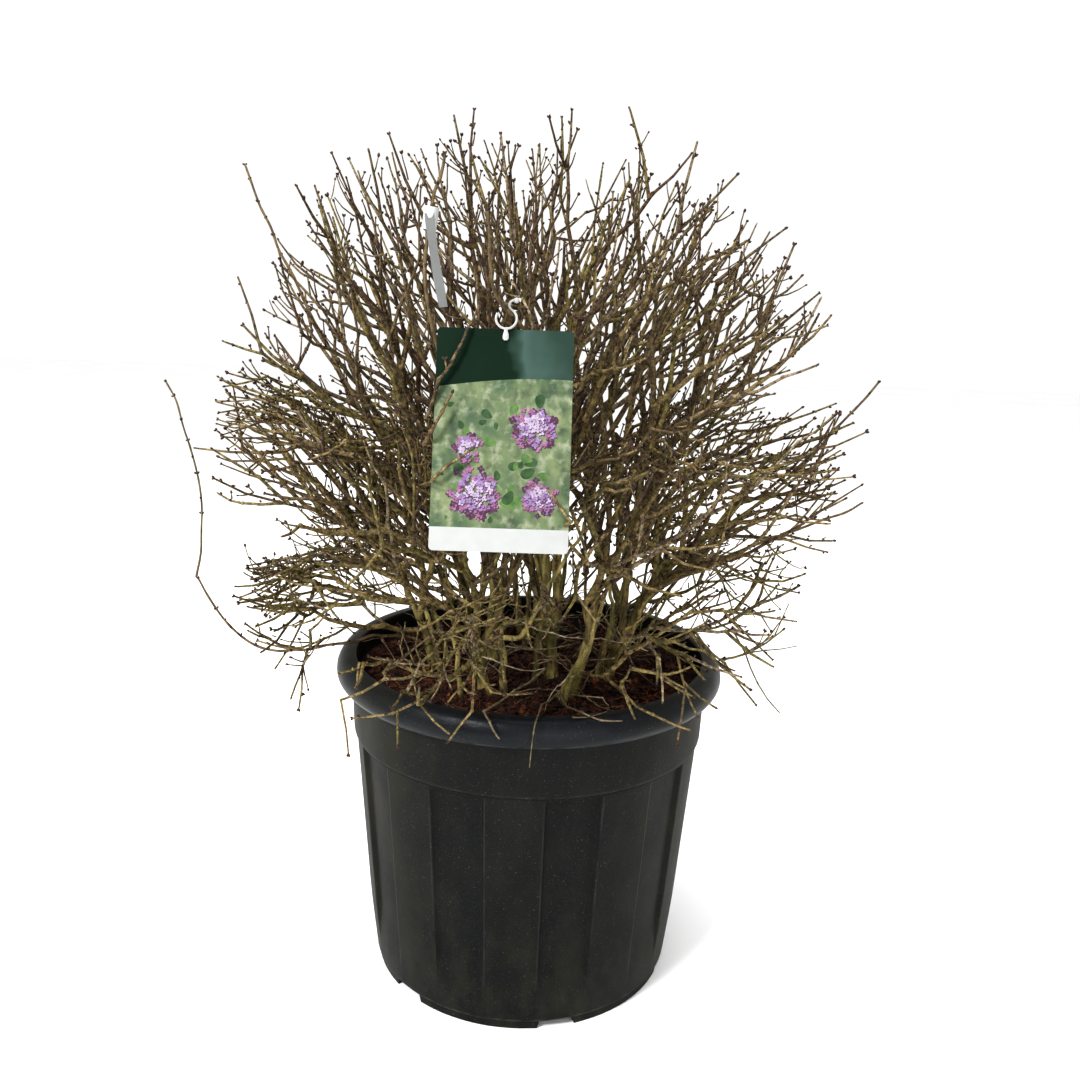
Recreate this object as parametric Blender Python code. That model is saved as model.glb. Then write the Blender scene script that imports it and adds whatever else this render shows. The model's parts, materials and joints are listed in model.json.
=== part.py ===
"""A leafless dwarf lilac bush, grown as many stems from one pot, with its hanging label and its strap tag."""

import math
import random
from dataclasses import dataclass

import bmesh
import bpy
import numpy as np
from mathutils import Matrix, Vector

# Everything is in metres. The origin is the centre of the pot's flat underside, and the front is -Y.
# An angle round the pot is measured in degrees from the front towards +X.
CLEAR = 0.0003

# Pot
LIP_RADIUS = 0.243
LIP_BOTTOM = 0.390
LIP_TOP = 0.4185
LIP_INNER_RADIUS = 0.220
COLLAR_RADIUS = 0.2225
COLLAR_BOTTOM = 0.3195
BODY_TOP_RADIUS = 0.2200
BODY_LOW_RADIUS = 0.2030
BODY_LOW = 0.085
FOOT_RADIUS = 0.192
FOOT_HEIGHT = 0.0125
FOOT_WIDTH = 0.012
WALL = 0.0100
PAD_RADIUS = 0.045
FLUTES = 10
FLUTE_HALF_ANGLE = 9.2
FLUTE_TURN = -3.0
FLUTE_EDGE_ANGLE = 2.5
FLUTE_DEPTH = 0.0055
FLUTE_FADE = 0.05
NOTCHES = 6
NOTCH_FIRST_ANGLE = 14.0
NOTCH_ANGLE = 14.0

# Compost
SOIL = 0.398
SOIL_FLAT_RADIUS = 0.165
SOIL_UNEVEN = 0.004

# Crown: an upright, blunt-topped round that spreads from a fan centre just above the compost
CROWN_X = -0.012
CROWN_RADIUS = 0.375
CROWN_WIDEST = 0.69
CROWN_TOP = 1.062
CROWN_LOW_HEIGHT = 0.45
CROWN_BLUNTNESS = 2.5
CROWN_LOBES = 0.035
FAN_CENTRE = Vector((0.0, 0.0, 0.43))
SOIL_FLOOR = 0.408
RIM_FLOOR = 0.4245
RIM_FLOOR_RADII = (0.205, 0.268)
DROOP_FLOOR = 0.345

# Stems: three rise through the middle, seven lean outwards round them
INNER_STEMS = 3
INNER_BASE_RADIUS = 0.05
INNER_THICKNESS = 0.0072
OUTER_STEMS = 7
OUTER_BASE_RADIUS = 0.112
OUTER_FIRST_ANGLE = -82.0
OUTER_THICKNESS = 0.0064
OUTER_HEIGHT = 0.088
OUTER_SPREAD = 0.032
ROOT_FLARE = 0.35

# Boughs and masses, as angles from the vertical seen from the fan centre and as shares of the crown's reach,
# with each ring's usual shoot and how often three shoots grow at a fork in place of two
BOUGH_THICKNESS = 0.0046
BOUGH_TIP = 0.0035
FORK_ANGLE = 38.0
LOW_HEADING = 52.0
LOW_OFFSET = 13.0
RINGS = {
    "top": {"angle": 13.0, "tip": 0.40, "centre": 0.72, "shoot": 0.058, "third": 0.1},
    "upper": {"angle": 35.0, "tip": 0.42, "centre": 0.74, "shoot": 0.055, "third": 0.1},
    "outer": {"angle": 58.0, "tip": 0.44, "centre": 0.75, "shoot": 0.048, "third": 0.2},
    "low": {"angle": 83.0, "tip": 0.0, "centre": 0.74, "shoot": 0.045, "third": 0.2},
}

# Twigs
SHORTEST_SHOOT = 0.016
TWIG_FORK = (15.0, 31.0)
LONG_CHANCE = 0.06
LONG_REACH = 1.09
MOST_FORKS = 6
MOST_TWIGS = 44
TRIES = 10
WIDEST_TRY = 34.0
LEAST_ROOM = 0.012
OUTWARD_PULL = 0.16
SPACE_PULL = 0.5
UPWARD_PULL = 0.07
THINNING_ALONG = 0.83
SIDE_THINNING = 0.85
FORK_STEP = 0.006
SUNK_ROOT = 0.55
THINNEST_TWIG = 0.0011
SPACE_MARGIN = 0.003
TWIG_MARGIN = 0.0018

# Long single shoots that stand out of the crown, by the limb and the piece of it that each grows from. Some run
# straight for a stretch at a seat: past the pot's lip, through the hook's ring or through the strap's roll.
SHOOT_THICKNESS = 0.0024
SEAT_RADIUS = 0.0017
SEAT_HALF_LENGTH = 0.013
LIP_SEAT = Vector((-0.306, -0.042, 0.419))
LIP_HEADING = Vector((-0.998, 0.0, -0.06))
TAG_SEAT = Vector((-0.106, -0.262, 0.931))
TAG_HEADING = Vector((0.14, -0.04, 0.989))
SHOOTS = {
    "left_low": {"from": "stem_outer_1", "piece": 1, "tip": (-0.412, -0.040, 0.512), "rise": 0.55},
    "top_left": {"from": "bough_upper_1", "piece": 4, "tip": (-0.352, 0.010, 1.003), "rise": 0.5},
    "right_high": {"from": "bough_outer_4", "piece": 4, "tip": (0.412, -0.010, 0.776), "rise": 0.3},
    "right_low": {"from": "bough_outer_4", "piece": 2, "tip": (0.414, 0.010, 0.622), "rise": 0.1},
    "label": {"from": "bough_upper_2", "piece": 3, "tip": (-0.050, -0.322, 0.940), "rise": 0.8},
    "tag": {"from": "bough_upper_2", "piece": 5, "tip": (-0.092, -0.266, 0.992), "rise": 1.2},
}
LEFT_HIGH_TIP = Vector((-0.438, -0.045, 0.752))

# Label and its hook
CARD_WIDTH = 0.125
CARD_HEIGHT = 0.205
CARD_THICK = 0.0007
CARD_CORNER = 0.004
CARD_CENTRE = Vector((-0.031, -0.343, 0.737))
CARD_TILT = 20.0
HOOK_WIRE = 0.0012
HOOK_RING = 0.0095
HOOK_END_ANGLE = 60.0
HOOK_CURL = 0.005
HOOK_CLIP = Vector((0.006, 0.0024, 0.012))
HOOK_BALL = 0.0027

# Strap tag
TAG_ROLL_RADIUS = 0.0072
TAG_ROLL_HEIGHT = 0.021
TAG_TAIL_WIDTH = 0.009
TAG_TAIL_THICK = 0.0006
TAG_TAIL_LENGTH = 0.085


@dataclass
class Limb:
    """A stem, a bough or a long shoot: points along its middle, with the radius at each."""

    name: str
    points: list
    radii: list
    sides: int
    cut: Vector = None


@dataclass
class Mass:
    """A mass of twigs: where its own stem starts, and the middle of the space that it keeps to."""

    name: str
    start: Vector
    heading: Vector
    radius: float
    cut: Vector
    centre: Vector
    carrier: str
    ring: str


@dataclass
class Bud:
    """A place where a twig may grow: its root, its heading, the plane that it forks in and its place in the tree."""

    root: Vector
    heading: Vector
    side: Vector
    radius: float
    path: str


def around(angle, radius, height):
    """The point at this angle round the pot."""
    turn = math.radians(angle)
    return Vector((radius * math.sin(turn), -radius * math.cos(turn), height))


def fan_direction(from_vertical, angle):
    """The direction that leans this far from the vertical towards this angle round the pot."""
    lean = math.radians(from_vertical)
    return around(angle, math.sin(lean), math.cos(lean))


def material(name, colour, roughness):
    made = bpy.data.materials.new(name)
    made.use_nodes = True
    shader = made.node_tree.nodes["Principled BSDF"]
    shader.inputs["Base Color"].default_value = (*colour, 1.0)
    shader.inputs["Roughness"].default_value = roughness
    return made


def add_object(name, points, faces, finish, smooth=True):
    mesh = bpy.data.meshes.new(name)
    mesh.from_pydata([tuple(point) for point in points], [], faces)
    mesh.materials.append(finish)
    made = bpy.data.objects.new(name, mesh)
    bpy.context.scene.collection.objects.link(made)
    if smooth:
        mesh.shade_smooth()
        mesh.set_sharp_from_angle(angle=math.radians(40))
    return made


def join_all(base, others, operation="UNION", solver="EXACT"):
    """Joins the other objects to the base, or cuts them out of it, and removes them."""
    group = bpy.data.collections.new(base.name + "_pieces")
    bpy.context.scene.collection.children.link(group)
    for other in others:
        bpy.context.scene.collection.objects.unlink(other)
        group.objects.link(other)
    boolean = base.modifiers.new("Join", "BOOLEAN")
    boolean.operation = operation
    boolean.operand_type = "COLLECTION"
    boolean.collection = group
    boolean.solver = solver
    bpy.context.view_layer.update()
    evaluated = base.evaluated_get(bpy.context.evaluated_depsgraph_get())
    joined = bpy.data.meshes.new_from_object(evaluated)
    base.modifiers.remove(boolean)
    base.data = joined
    for other in others:
        bpy.data.objects.remove(other)
    bpy.data.collections.remove(group)
    return base


# Pot
def flute_angles():
    """The angles of the pot's corners: each rib's middle, and each flute's edges, floor and middle."""
    pitch = 360.0 / FLUTES
    inner = FLUTE_HALF_ANGLE - FLUTE_EDGE_ANGLE
    offsets = (-pitch / 2, -FLUTE_HALF_ANGLE, -inner, 0.0, inner, FLUTE_HALF_ANGLE)
    return [pitch * (flute + 0.5) + FLUTE_TURN + offset for flute in range(FLUTES) for offset in offsets]


def flute_depth(angle, height):
    """How far the wall is pressed in, which fades out towards the rounded base."""
    if not BODY_LOW - FLUTE_FADE < height < COLLAR_BOTTOM:
        return 0.0
    pitch = 360.0 / FLUTES
    off_middle = abs(((angle - FLUTE_TURN) % pitch) - pitch / 2)
    across = min(1.0, max(0.0, (FLUTE_HALF_ANGLE - off_middle) / FLUTE_EDGE_ANGLE))
    up = min(1.0, (height - BODY_LOW + FLUTE_FADE) / FLUTE_FADE)
    return FLUTE_DEPTH * across * up


def lathe(rows, angles, place):
    """Points and faces of a turned shape, from its underside's middle round to its top's middle."""
    points = [place(rows[0][0], rows[0][1], 0.0)]
    for radius, height in rows[1:-1]:
        points += [place(radius, height, angle) for angle in angles]
    points.append(place(rows[-1][0], rows[-1][1], 0.0))
    count = len(angles)
    last = len(points) - 1
    faces = []
    for a in range(count):
        b = (a + 1) % count
        faces.append((0, 1 + b, 1 + a))
        faces.append((last, last - count + a, last - count + b))
    for row in range(len(rows) - 3):
        low = 1 + row * count
        for a in range(count):
            b = (a + 1) % count
            faces.append((low + a, low + b, low + count + b, low + count + a))
    return points, faces


def inner_wall():
    """The pot's inner wall, from the lip down to the floor."""
    return [
        (COLLAR_RADIUS - WALL, COLLAR_BOTTOM),
        (BODY_LOW_RADIUS - WALL, BODY_LOW),
        (FOOT_RADIUS - WALL, FOOT_HEIGHT + 0.006),
    ]


def make_pot():
    lip_middle = LIP_BOTTOM + 0.45 * (LIP_TOP - LIP_BOTTOM)
    rows = [
        (0.0, 0.0),
        (PAD_RADIUS, 0.0),
        (PAD_RADIUS, FOOT_HEIGHT + 0.001),
        (FOOT_RADIUS - FOOT_WIDTH, FOOT_HEIGHT + 0.001),
        (FOOT_RADIUS - FOOT_WIDTH, 0.0),
        (FOOT_RADIUS, 0.0),
        (FOOT_RADIUS + 0.003, FOOT_HEIGHT),
        (FOOT_RADIUS + 0.0055, BODY_LOW - FLUTE_FADE),
        (BODY_LOW_RADIUS, BODY_LOW),
        (BODY_TOP_RADIUS, COLLAR_BOTTOM - 0.004),
        (COLLAR_RADIUS, COLLAR_BOTTOM + 0.001),
        (COLLAR_RADIUS + 0.0005, LIP_BOTTOM),
        (LIP_RADIUS - 0.002, LIP_BOTTOM),
        (LIP_RADIUS, lip_middle),
        (LIP_RADIUS - 0.008, LIP_TOP),
        (LIP_INNER_RADIUS, LIP_TOP),
        *inner_wall(),
        (0.0, FOOT_HEIGHT + 0.006),
    ]

    def place(radius, height, angle):
        outside = radius > BODY_LOW_RADIUS - FLUTE_DEPTH and height < COLLAR_BOTTOM
        pressed_in = flute_depth(angle, height) if outside else 0.0
        return around(angle, radius - pressed_in, height)

    finish = material("black_pot", (0.022, 0.024, 0.026), 0.5)
    pot = add_object("pot", *lathe(rows, flute_angles(), place), finish)
    pitch = 360.0 / NOTCHES
    cutters = [notch_cutter(NOTCH_FIRST_ANGLE + pitch * i) for i in range(NOTCHES)]
    return join_all(pot, cutters, "DIFFERENCE", "MANIFOLD")


def notch_cutter(angle):
    """A block through the foot ring that stops just under the floor."""
    half_width = FOOT_RADIUS * math.radians(NOTCH_ANGLE) / 2
    shape = bmesh.new()
    bmesh.ops.create_cube(shape, size=1.0)
    place = Matrix.Translation(around(angle, FOOT_RADIUS - FOOT_WIDTH / 2, 0.0))
    turn = Matrix.Rotation(math.radians(angle), 4, "Z")
    size = Matrix.Diagonal((2 * half_width, FOOT_WIDTH * 2.4, 2 * (FOOT_HEIGHT - 0.0012), 1.0))
    bmesh.ops.transform(shape, matrix=place @ turn @ size, verts=shape.verts)
    mesh = bpy.data.meshes.new("notch")
    shape.to_mesh(mesh)
    shape.free()
    cutter = bpy.data.objects.new("notch", mesh)
    bpy.context.scene.collection.objects.link(cutter)
    return cutter


# Compost
def make_compost():
    """The root ball and its compost: it fills the pot, flat round the stems and uneven near the wall."""
    chance = random.Random("compost")
    walls = [(radius - CLEAR * 1.5, height) for radius, height in reversed(inner_wall())]
    walls[0] = (walls[0][0], walls[0][1] + CLEAR)
    edge = COLLAR_RADIUS - WALL - CLEAR * 1.5
    slope = (LIP_INNER_RADIUS - COLLAR_RADIUS + WALL) / (LIP_TOP - COLLAR_BOTTOM)
    rows = [
        (0.0, walls[0][1]),
        *walls,
        (edge + slope * (SOIL - 0.006 - COLLAR_BOTTOM), SOIL - 0.006),
        ((edge + SOIL_FLAT_RADIUS) / 2, SOIL + 0.001),
        (SOIL_FLAT_RADIUS, SOIL),
        (0.0, SOIL),
    ]

    def place(radius, height, angle):
        uneven = height > SOIL - 0.01 and radius > SOIL_FLAT_RADIUS + 0.001
        lift = chance.uniform(-1.0, 0.6) * SOIL_UNEVEN if uneven else 0.0
        return around(angle, radius, height + lift)

    finish = material("compost", (0.065, 0.026, 0.014), 0.95)
    return add_object("compost", *lathe(rows, flute_angles(), place), finish)


# Crown outline
def crown_swell(point):
    """The shallow lobes of the crown's outline at this point."""
    turn = math.atan2(point.x - CROWN_X, -point.y)
    wave = math.sin(3 * turn + 6 * point.z) + 0.7 * math.sin(5 * turn - 9 * point.z + 1.0)
    return 1.0 + CROWN_LOBES * wave / 1.7


def floor_under(point):
    """The lowest that the crown reaches at this distance from the middle: over the soil, the rim or the ground."""
    outwards = math.hypot(point.x, point.y)
    if outwards > RIM_FLOOR_RADII[1]:
        return DROOP_FLOOR
    return RIM_FLOOR if outwards > RIM_FLOOR_RADII[0] else SOIL_FLOOR


def in_crown(point, reach=1.0):
    """Whether the point is within the crown's outline, made larger by this factor."""
    if point.z < floor_under(point):
        return False
    outwards = math.hypot(point.x - CROWN_X, point.y)
    rise = point.z - CROWN_WIDEST
    height = CROWN_TOP - CROWN_WIDEST if rise > 0 else CROWN_LOW_HEIGHT
    across = outwards / CROWN_RADIUS
    share = (across**CROWN_BLUNTNESS + (abs(rise) / height) ** CROWN_BLUNTNESS) ** (1 / CROWN_BLUNTNESS)
    return share < reach * crown_swell(point)


def reach_from(root, heading, reach=1.0):
    """How far the crown's outline lies from the root along the heading."""
    step = 0.004
    distance = step
    while in_crown(root + heading * distance, reach):
        distance += step
    return distance


def fan_point(ring, share, angle):
    """The point at this share of the crown's reach, in this ring and at this angle round the pot."""
    heading = fan_direction(RINGS[ring]["angle"], angle)
    return FAN_CENTRE + heading * share * reach_from(FAN_CENTRE, heading)


# Limbs
def curve_between(start, start_heading, end, end_heading, count, kink, chance):
    """Points of a limb that leaves the start and reaches the end along these headings, with slight kinks."""
    length = (end - start).length
    points = []
    for i in range(count + 1):
        t = i / count
        point = start * (2 * t**3 - 3 * t**2 + 1) + end * (3 * t**2 - 2 * t**3)
        point += start_heading * length * (t**3 - 2 * t**2 + t) * 0.9
        point += end_heading * length * (t**3 - t**2) * 0.9
        if 1 < i < count:
            point += Vector([chance.uniform(-kink, kink) for _ in range(3)])
        points.append(point)
    return points


def tapered(start, end, count):
    return [start + (end - start) * i / count for i in range(count + 1)]


def side_of(limb, piece, towards):
    """Where a side shoot meets this piece of a limb: its root, its heading and the plane it is cut to."""
    a, b = limb.points[piece], limb.points[piece + 1]
    along = (b - a).normalized()
    out = (towards - along * towards.dot(along)).normalized()
    middle = (a + b) / 2
    root = middle + out * (limb.radii[piece] + CLEAR)
    lean = math.radians(FORK_ANGLE)
    return root, along * math.cos(lean) + out * math.sin(lean), out


def make_limbs():
    """Every stem, bough and long shoot, by name."""
    limbs = {}
    for i in range(INNER_STEMS):
        chance = random.Random(f"inner stem {i}")
        angle = 35.0 + 360.0 / INNER_STEMS * i + chance.uniform(-10, 10)
        base = around(angle, INNER_BASE_RADIUS + chance.uniform(-0.006, 0.006), SOIL + CLEAR)
        tip = fan_point("top", RINGS["top"]["tip"], angle + 8)
        count = 12
        points = curve_between(base, fan_direction(6, angle), tip, fan_direction(10, angle), count, 0.0028, chance)
        radii = tapered(INNER_THICKNESS, BOUGH_TIP, count)
        radii[0] *= 1 + ROOT_FLARE
        name = f"stem_inner_{i + 1}"
        limbs[name] = Limb(name, points, radii, 8, Vector((0.0, 0.0, 1.0)))
    for i in range(OUTER_STEMS):
        chance = random.Random(f"outer stem {i}")
        angle = OUTER_FIRST_ANGLE + 360.0 / OUTER_STEMS * i + chance.uniform(-7, 7)
        base = around(angle, OUTER_BASE_RADIUS + chance.uniform(-0.014, 0.014), SOIL + CLEAR)
        height = OUTER_HEIGHT + chance.uniform(-0.012, 0.012)
        fork = base + around(angle + chance.uniform(-12, 12), OUTER_SPREAD, height)
        thickness = OUTER_THICKNESS * chance.uniform(0.82, 1.15)
        count = 5
        points = curve_between(base, fan_direction(12, angle), fork, fan_direction(30, angle), count, 0.0015, chance)
        radii = tapered(thickness, thickness * 0.78, count)
        radii[0] *= 1 + ROOT_FLARE
        stem = Limb(f"stem_outer_{i + 1}", points, radii, 8, Vector((0.0, 0.0, 1.0)))
        limbs[stem.name] = stem
        grow_boughs(limbs, stem, i, angle, chance)
    seats = {"left_low": (LIP_SEAT, LIP_HEADING), "label": hook_seat(SEAT_RADIUS), "tag": (TAG_SEAT, TAG_HEADING)}
    for name, shoot in SHOOTS.items():
        limbs["shoot_" + name] = long_shoot("shoot_" + name, limbs[shoot["from"]], shoot, seats.get(name))
    low = limbs["shoot_left_low"]
    along = (low.points[-1] - low.points[-2]).normalized()
    start = low.points[-1] + along * CLEAR
    chance = random.Random("left high")
    points = curve_between(start, Vector((0.3, 0.0, 1.0)), LEFT_HIGH_TIP, Vector((-0.45, 0.0, 0.9)), 8, 0.002, chance)
    limbs["shoot_left_high"] = Limb("shoot_left_high", points, tapered(low.radii[-1], 0.001, 8), 5, along)
    return limbs


def grow_boughs(limbs, stem, i, angle, chance):
    """The two boughs of an outer stem: one carries its line on outwards, the other rises from its side."""
    along = (stem.points[-1] - stem.points[-2]).normalized()
    start = stem.points[-1] + along * CLEAR
    outer_angle = angle + chance.uniform(-5, 5)
    tip = fan_point("outer", RINGS["outer"]["tip"], outer_angle)
    end_heading = fan_direction(RINGS["outer"]["angle"] - 6, outer_angle)
    points = curve_between(start, along, tip, end_heading, 6, 0.002, chance)
    radii = tapered(min(BOUGH_THICKNESS, stem.radii[-1] * 0.9), BOUGH_TIP, 6)
    limbs[f"bough_outer_{i + 1}"] = Limb(f"bough_outer_{i + 1}", points, radii, 6, along)
    upper_angle = OUTER_FIRST_ANGLE + 360.0 / OUTER_STEMS * (i + 0.5) + chance.uniform(-5, 5)
    tip = fan_point("upper", RINGS["upper"]["tip"], upper_angle)
    start, heading, cut = side_of(stem, 3, tip - stem.points[3])
    end_heading = fan_direction(RINGS["upper"]["angle"] - 8, upper_angle)
    points = curve_between(start, heading, tip, end_heading, 8, 0.0025, chance)
    radii = tapered(BOUGH_THICKNESS, BOUGH_TIP, 8)
    limbs[f"bough_upper_{i + 1}"] = Limb(f"bough_upper_{i + 1}", points, radii, 6, cut)


def long_shoot(name, carrier, shoot, seat=None):
    """A thin shoot from its carrier's side to its tip, straight for a stretch where it has a seat on the way."""
    chance = random.Random(name)
    tip = Vector(shoot["tip"])
    aim, through = seat if seat else (tip, None)
    start, heading, cut = side_of(carrier, shoot["piece"], aim - carrier.points[shoot["piece"]])
    points, radii = [start], [SHOOT_THICKNESS]
    if seat:
        before, after = (aim + through * half for half in (-SEAT_HALF_LENGTH, SEAT_HALF_LENGTH))
        points = curve_between(start, heading, before, through, 9, 0.0018, chance)
        radii = tapered(SHOOT_THICKNESS, SEAT_RADIUS, 9)
        start, heading = after, through
        points.append(after)
        radii.append(SEAT_RADIUS)
    end_heading = ((tip - start).normalized() + Vector((0.0, 0.0, shoot["rise"]))).normalized()
    count = max(4, round((tip - start).length / 0.03))
    points += curve_between(start, heading, tip, end_heading, count, 0.0018, chance)[1:]
    radii += tapered(radii[-1], 0.0013, count)[1:]
    return Limb(name, points, radii, 5, cut)


def tube(points, radii, sides, cut=None):
    """Points and faces of a tapering limb. Its root is cut to the given plane, or else square."""
    corners = []
    across = (points[1] - points[0]).orthogonal().normalized()
    for i, point in enumerate(points):
        before, after = points[max(i - 1, 0)], points[min(i + 1, len(points) - 1)]
        along = (after - before).normalized()
        across = (across - along * across.dot(along)).normalized()
        other = along.cross(across)
        for side in range(sides):
            turn = math.tau * side / sides
            corner = point + (across * math.cos(turn) + other * math.sin(turn)) * radii[i]
            if i == 0 and cut is not None:
                corner += along * ((point - corner).dot(cut) / along.dot(cut))
            corners.append(corner)
    faces = [tuple(reversed(range(sides)))]
    for i in range(len(points) - 1):
        low = i * sides
        for a in range(sides):
            b = (a + 1) % sides
            faces.append((low + a, low + b, low + sides + b, low + sides + a))
    faces.append(tuple(range(len(corners) - sides, len(corners))))
    return corners, faces


# Masses of twigs
def plan_masses(limbs):
    """Where each mass of twigs starts, and the middle of its space."""
    masses = []

    def at_tip(name, limb, ring, angle):
        heading = (limb.points[-1] - limb.points[-2]).normalized()
        start = limb.points[-1] + heading * CLEAR
        centre = fan_point(ring, RINGS[ring]["centre"], angle)
        masses.append(Mass(name, start, heading, limb.radii[-1] * 0.95, heading, centre, limb.name, ring))

    def angle_of(point):
        return math.degrees(math.atan2(point.x, -point.y))

    for i in range(INNER_STEMS):
        stem = limbs[f"stem_inner_{i + 1}"]
        at_tip(f"twigs_top_{i + 1}", stem, "top", angle_of(stem.points[-1]))
    for i in range(OUTER_STEMS):
        upper = limbs[f"bough_upper_{i + 1}"]
        outer = limbs[f"bough_outer_{i + 1}"]
        at_tip(f"twigs_upper_{i + 1}", upper, "upper", angle_of(upper.points[-1]))
        at_tip(f"twigs_outer_{i + 1}", outer, "outer", angle_of(outer.points[-1]))
        stem = limbs[f"stem_outer_{i + 1}"]
        angle = angle_of(stem.points[0]) + LOW_OFFSET
        root, _, cut = side_of(stem, 2, fan_direction(90, angle))
        heading = (cut + fan_direction(LOW_HEADING, angle)).normalized()
        centre = fan_point("low", RINGS["low"]["centre"], angle)
        masses.append(Mass(f"twigs_low_{i + 1}", root, heading, 0.0032, cut, centre, stem.name, "low"))
    return masses


def limb_pieces(limbs):
    """Every straight piece of every limb, as arrays of its ends and its radius, and its limb's name."""
    starts, ends, radii, names = [], [], [], []
    for limb in limbs.values():
        for i in range(len(limb.points) - 1):
            starts.append(limb.points[i])
            ends.append(limb.points[i + 1])
            radii.append(max(limb.radii[i], limb.radii[i + 1]))
            names.append(limb.name)
    return np.array(starts), np.array(ends), np.array(radii), np.array(names)


def gap_to_pieces(spots, pieces, keep):
    """The least distance from any of the spots to the surface of any kept piece."""
    starts, ends, radii = (values[keep] for values in pieces[:3])
    along = ends - starts
    from_start = spots[:, None, :] - starts[None, :, :]
    share = np.clip((from_start * along).sum(axis=2) / (along * along).sum(axis=1), 0.0, 1.0)
    nearest = starts + share[:, :, None] * along
    return (np.linalg.norm(spots[:, None, :] - nearest, axis=2) - radii).min()


class Surroundings:
    """What the twigs of a mass must stay clear of: the other masses' spaces, the limbs, the card and the tag."""

    def __init__(self, masses, limbs):
        self.centres = np.array([mass.centre for mass in masses])
        self.pieces = limb_pieces(limbs)
        self.to_card = card_frame().inverted()
        self.room = (CARD_WIDTH / 2 + 0.005, 0.005, CARD_HEIGHT / 2 + 0.005)

    def meets_card(self, spot):
        local = self.to_card @ Vector(spot)
        ring = abs(local.x) < 0.016 and abs(local.y) < 0.007 and 0 < local.z - CARD_HEIGHT / 2 < 0.045
        return ring or all(abs(value) < room for value, room in zip(local, self.room))

    def meets_tag(self, spot):
        off = Vector(spot) - TAG_SEAT
        beside = abs(off.x) < 2.4 * TAG_ROLL_RADIUS and abs(off.y) < 1.7 * TAG_ROLL_RADIUS
        return beside and -TAG_TAIL_LENGTH - 0.004 < off.z < TAG_ROLL_HEIGHT

    def allow(self, mass, index, root, end, radius, first, reach):
        count = max(2, round((end - root).length / 0.006))
        spots = [root.lerp(end, (i + 1) / count) for i in range(count)]
        if not all(in_crown(spot, reach) for spot in spots):
            return False
        if any(self.meets_card(spot) or self.meets_tag(spot) for spot in spots):
            return False
        to_centres = np.linalg.norm(self.centres - np.array(end), axis=1)
        to_own = to_centres[index]
        to_centres[index] = np.inf
        between = np.linalg.norm(self.centres - self.centres[index], axis=1)
        between[index] = 1.0
        if ((to_centres**2 - to_own**2) / (2 * between)).min() < SPACE_MARGIN:
            return False
        keep = self.pieces[3] != mass.carrier if first else np.ones(len(self.pieces[3]), bool)
        return gap_to_pieces(np.array(spots), self.pieces, keep) > radius + TWIG_MARGIN


def tried_heading(bud, centre, chance, attempt):
    """A heading near the bud's own, drawn outwards from the fan centre, upwards and into the mass's space."""
    lean = math.radians(chance.uniform(0.3, 1.0) * WIDEST_TRY) if attempt else 0.0
    turn = chance.uniform(0.0, math.tau)
    across = bud.side * math.cos(turn) + bud.heading.cross(bud.side) * math.sin(turn)
    heading = bud.heading * math.cos(lean) + across * math.sin(lean)
    outwards = (bud.root - FAN_CENTRE).normalized() * OUTWARD_PULL
    inwards = (centre - bud.root).normalized() * (SPACE_PULL if attempt > TRIES / 2 else 0.0)
    return (heading + outwards + Vector((0.0, 0.0, UPWARD_PULL)) + inwards).normalized(), lean


def grow_twig(mass, index, bud, spots, surroundings):
    """The twig from this bud: of several headings it takes the one with most room, or None where none has any."""
    chance = random.Random(f"{mass.name} {bud.path}")
    stretch = chance.uniform(0.8, 1.25)
    last_share = chance.uniform(0.84, 1.0)
    reach = LONG_REACH if chance.random() < LONG_CHANCE else 1.0
    usual = RINGS[mass.ring]["shoot"] * stretch
    first = bud.path == "m"
    best, most_room = None, 0.0
    for attempt in range(TRIES):
        heading, lean = tried_heading(bud, mass.centre, chance, attempt)
        reached = reach_from(bud.root, heading, reach)
        last = reached < 1.75 * usual
        length = reached * last_share if last else usual
        end = bud.root + heading * length
        room = min(((end - spot).length for spot in spots), default=1.0) * (1.0 - 0.5 * lean)
        if length < SHORTEST_SHOOT or room < max(most_room, LEAST_ROOM):
            continue
        if surroundings.allow(mass, index, bud.root, end, bud.radius, first, reach):
            best, most_room = (end, last), room
        if first and best:
            break
    return best


def fork_buds(mass, bud, end, radius):
    """The buds at a twig's end: one that leads the twig on, its opposite, and now and then one between them."""
    chance = random.Random(f"{mass.name} {bud.path} fork")
    along = (end - bud.root).normalized()
    side = (bud.side - along * bud.side.dot(along)).normalized()
    side = Matrix.Rotation(math.radians(chance.uniform(-28, 28)), 3, along) @ side
    next_side = along.cross(side)
    lead_lean = math.radians(chance.uniform(*TWIG_FORK))
    other_lean = -math.radians(chance.uniform(*TWIG_FORK))
    buds = []
    for name, lean, across, thinning, back in (
        ("a", lead_lean * 0.7, side, 1.0, 0.0),
        ("b", other_lean, side, SIDE_THINNING, FORK_STEP),
        ("c", math.radians(chance.uniform(14, 24)), next_side, SIDE_THINNING * 0.9, 2 * FORK_STEP),
    ):
        heading = along * math.cos(lean) + across * math.sin(lean)
        root = end - along * back
        buds.append(Bud(root, heading, along.cross(across), max(THINNEST_TWIG, radius * thinning), bud.path + name))
    return buds if chance.random() < RINGS[mass.ring]["third"] else buds[:2]


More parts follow.
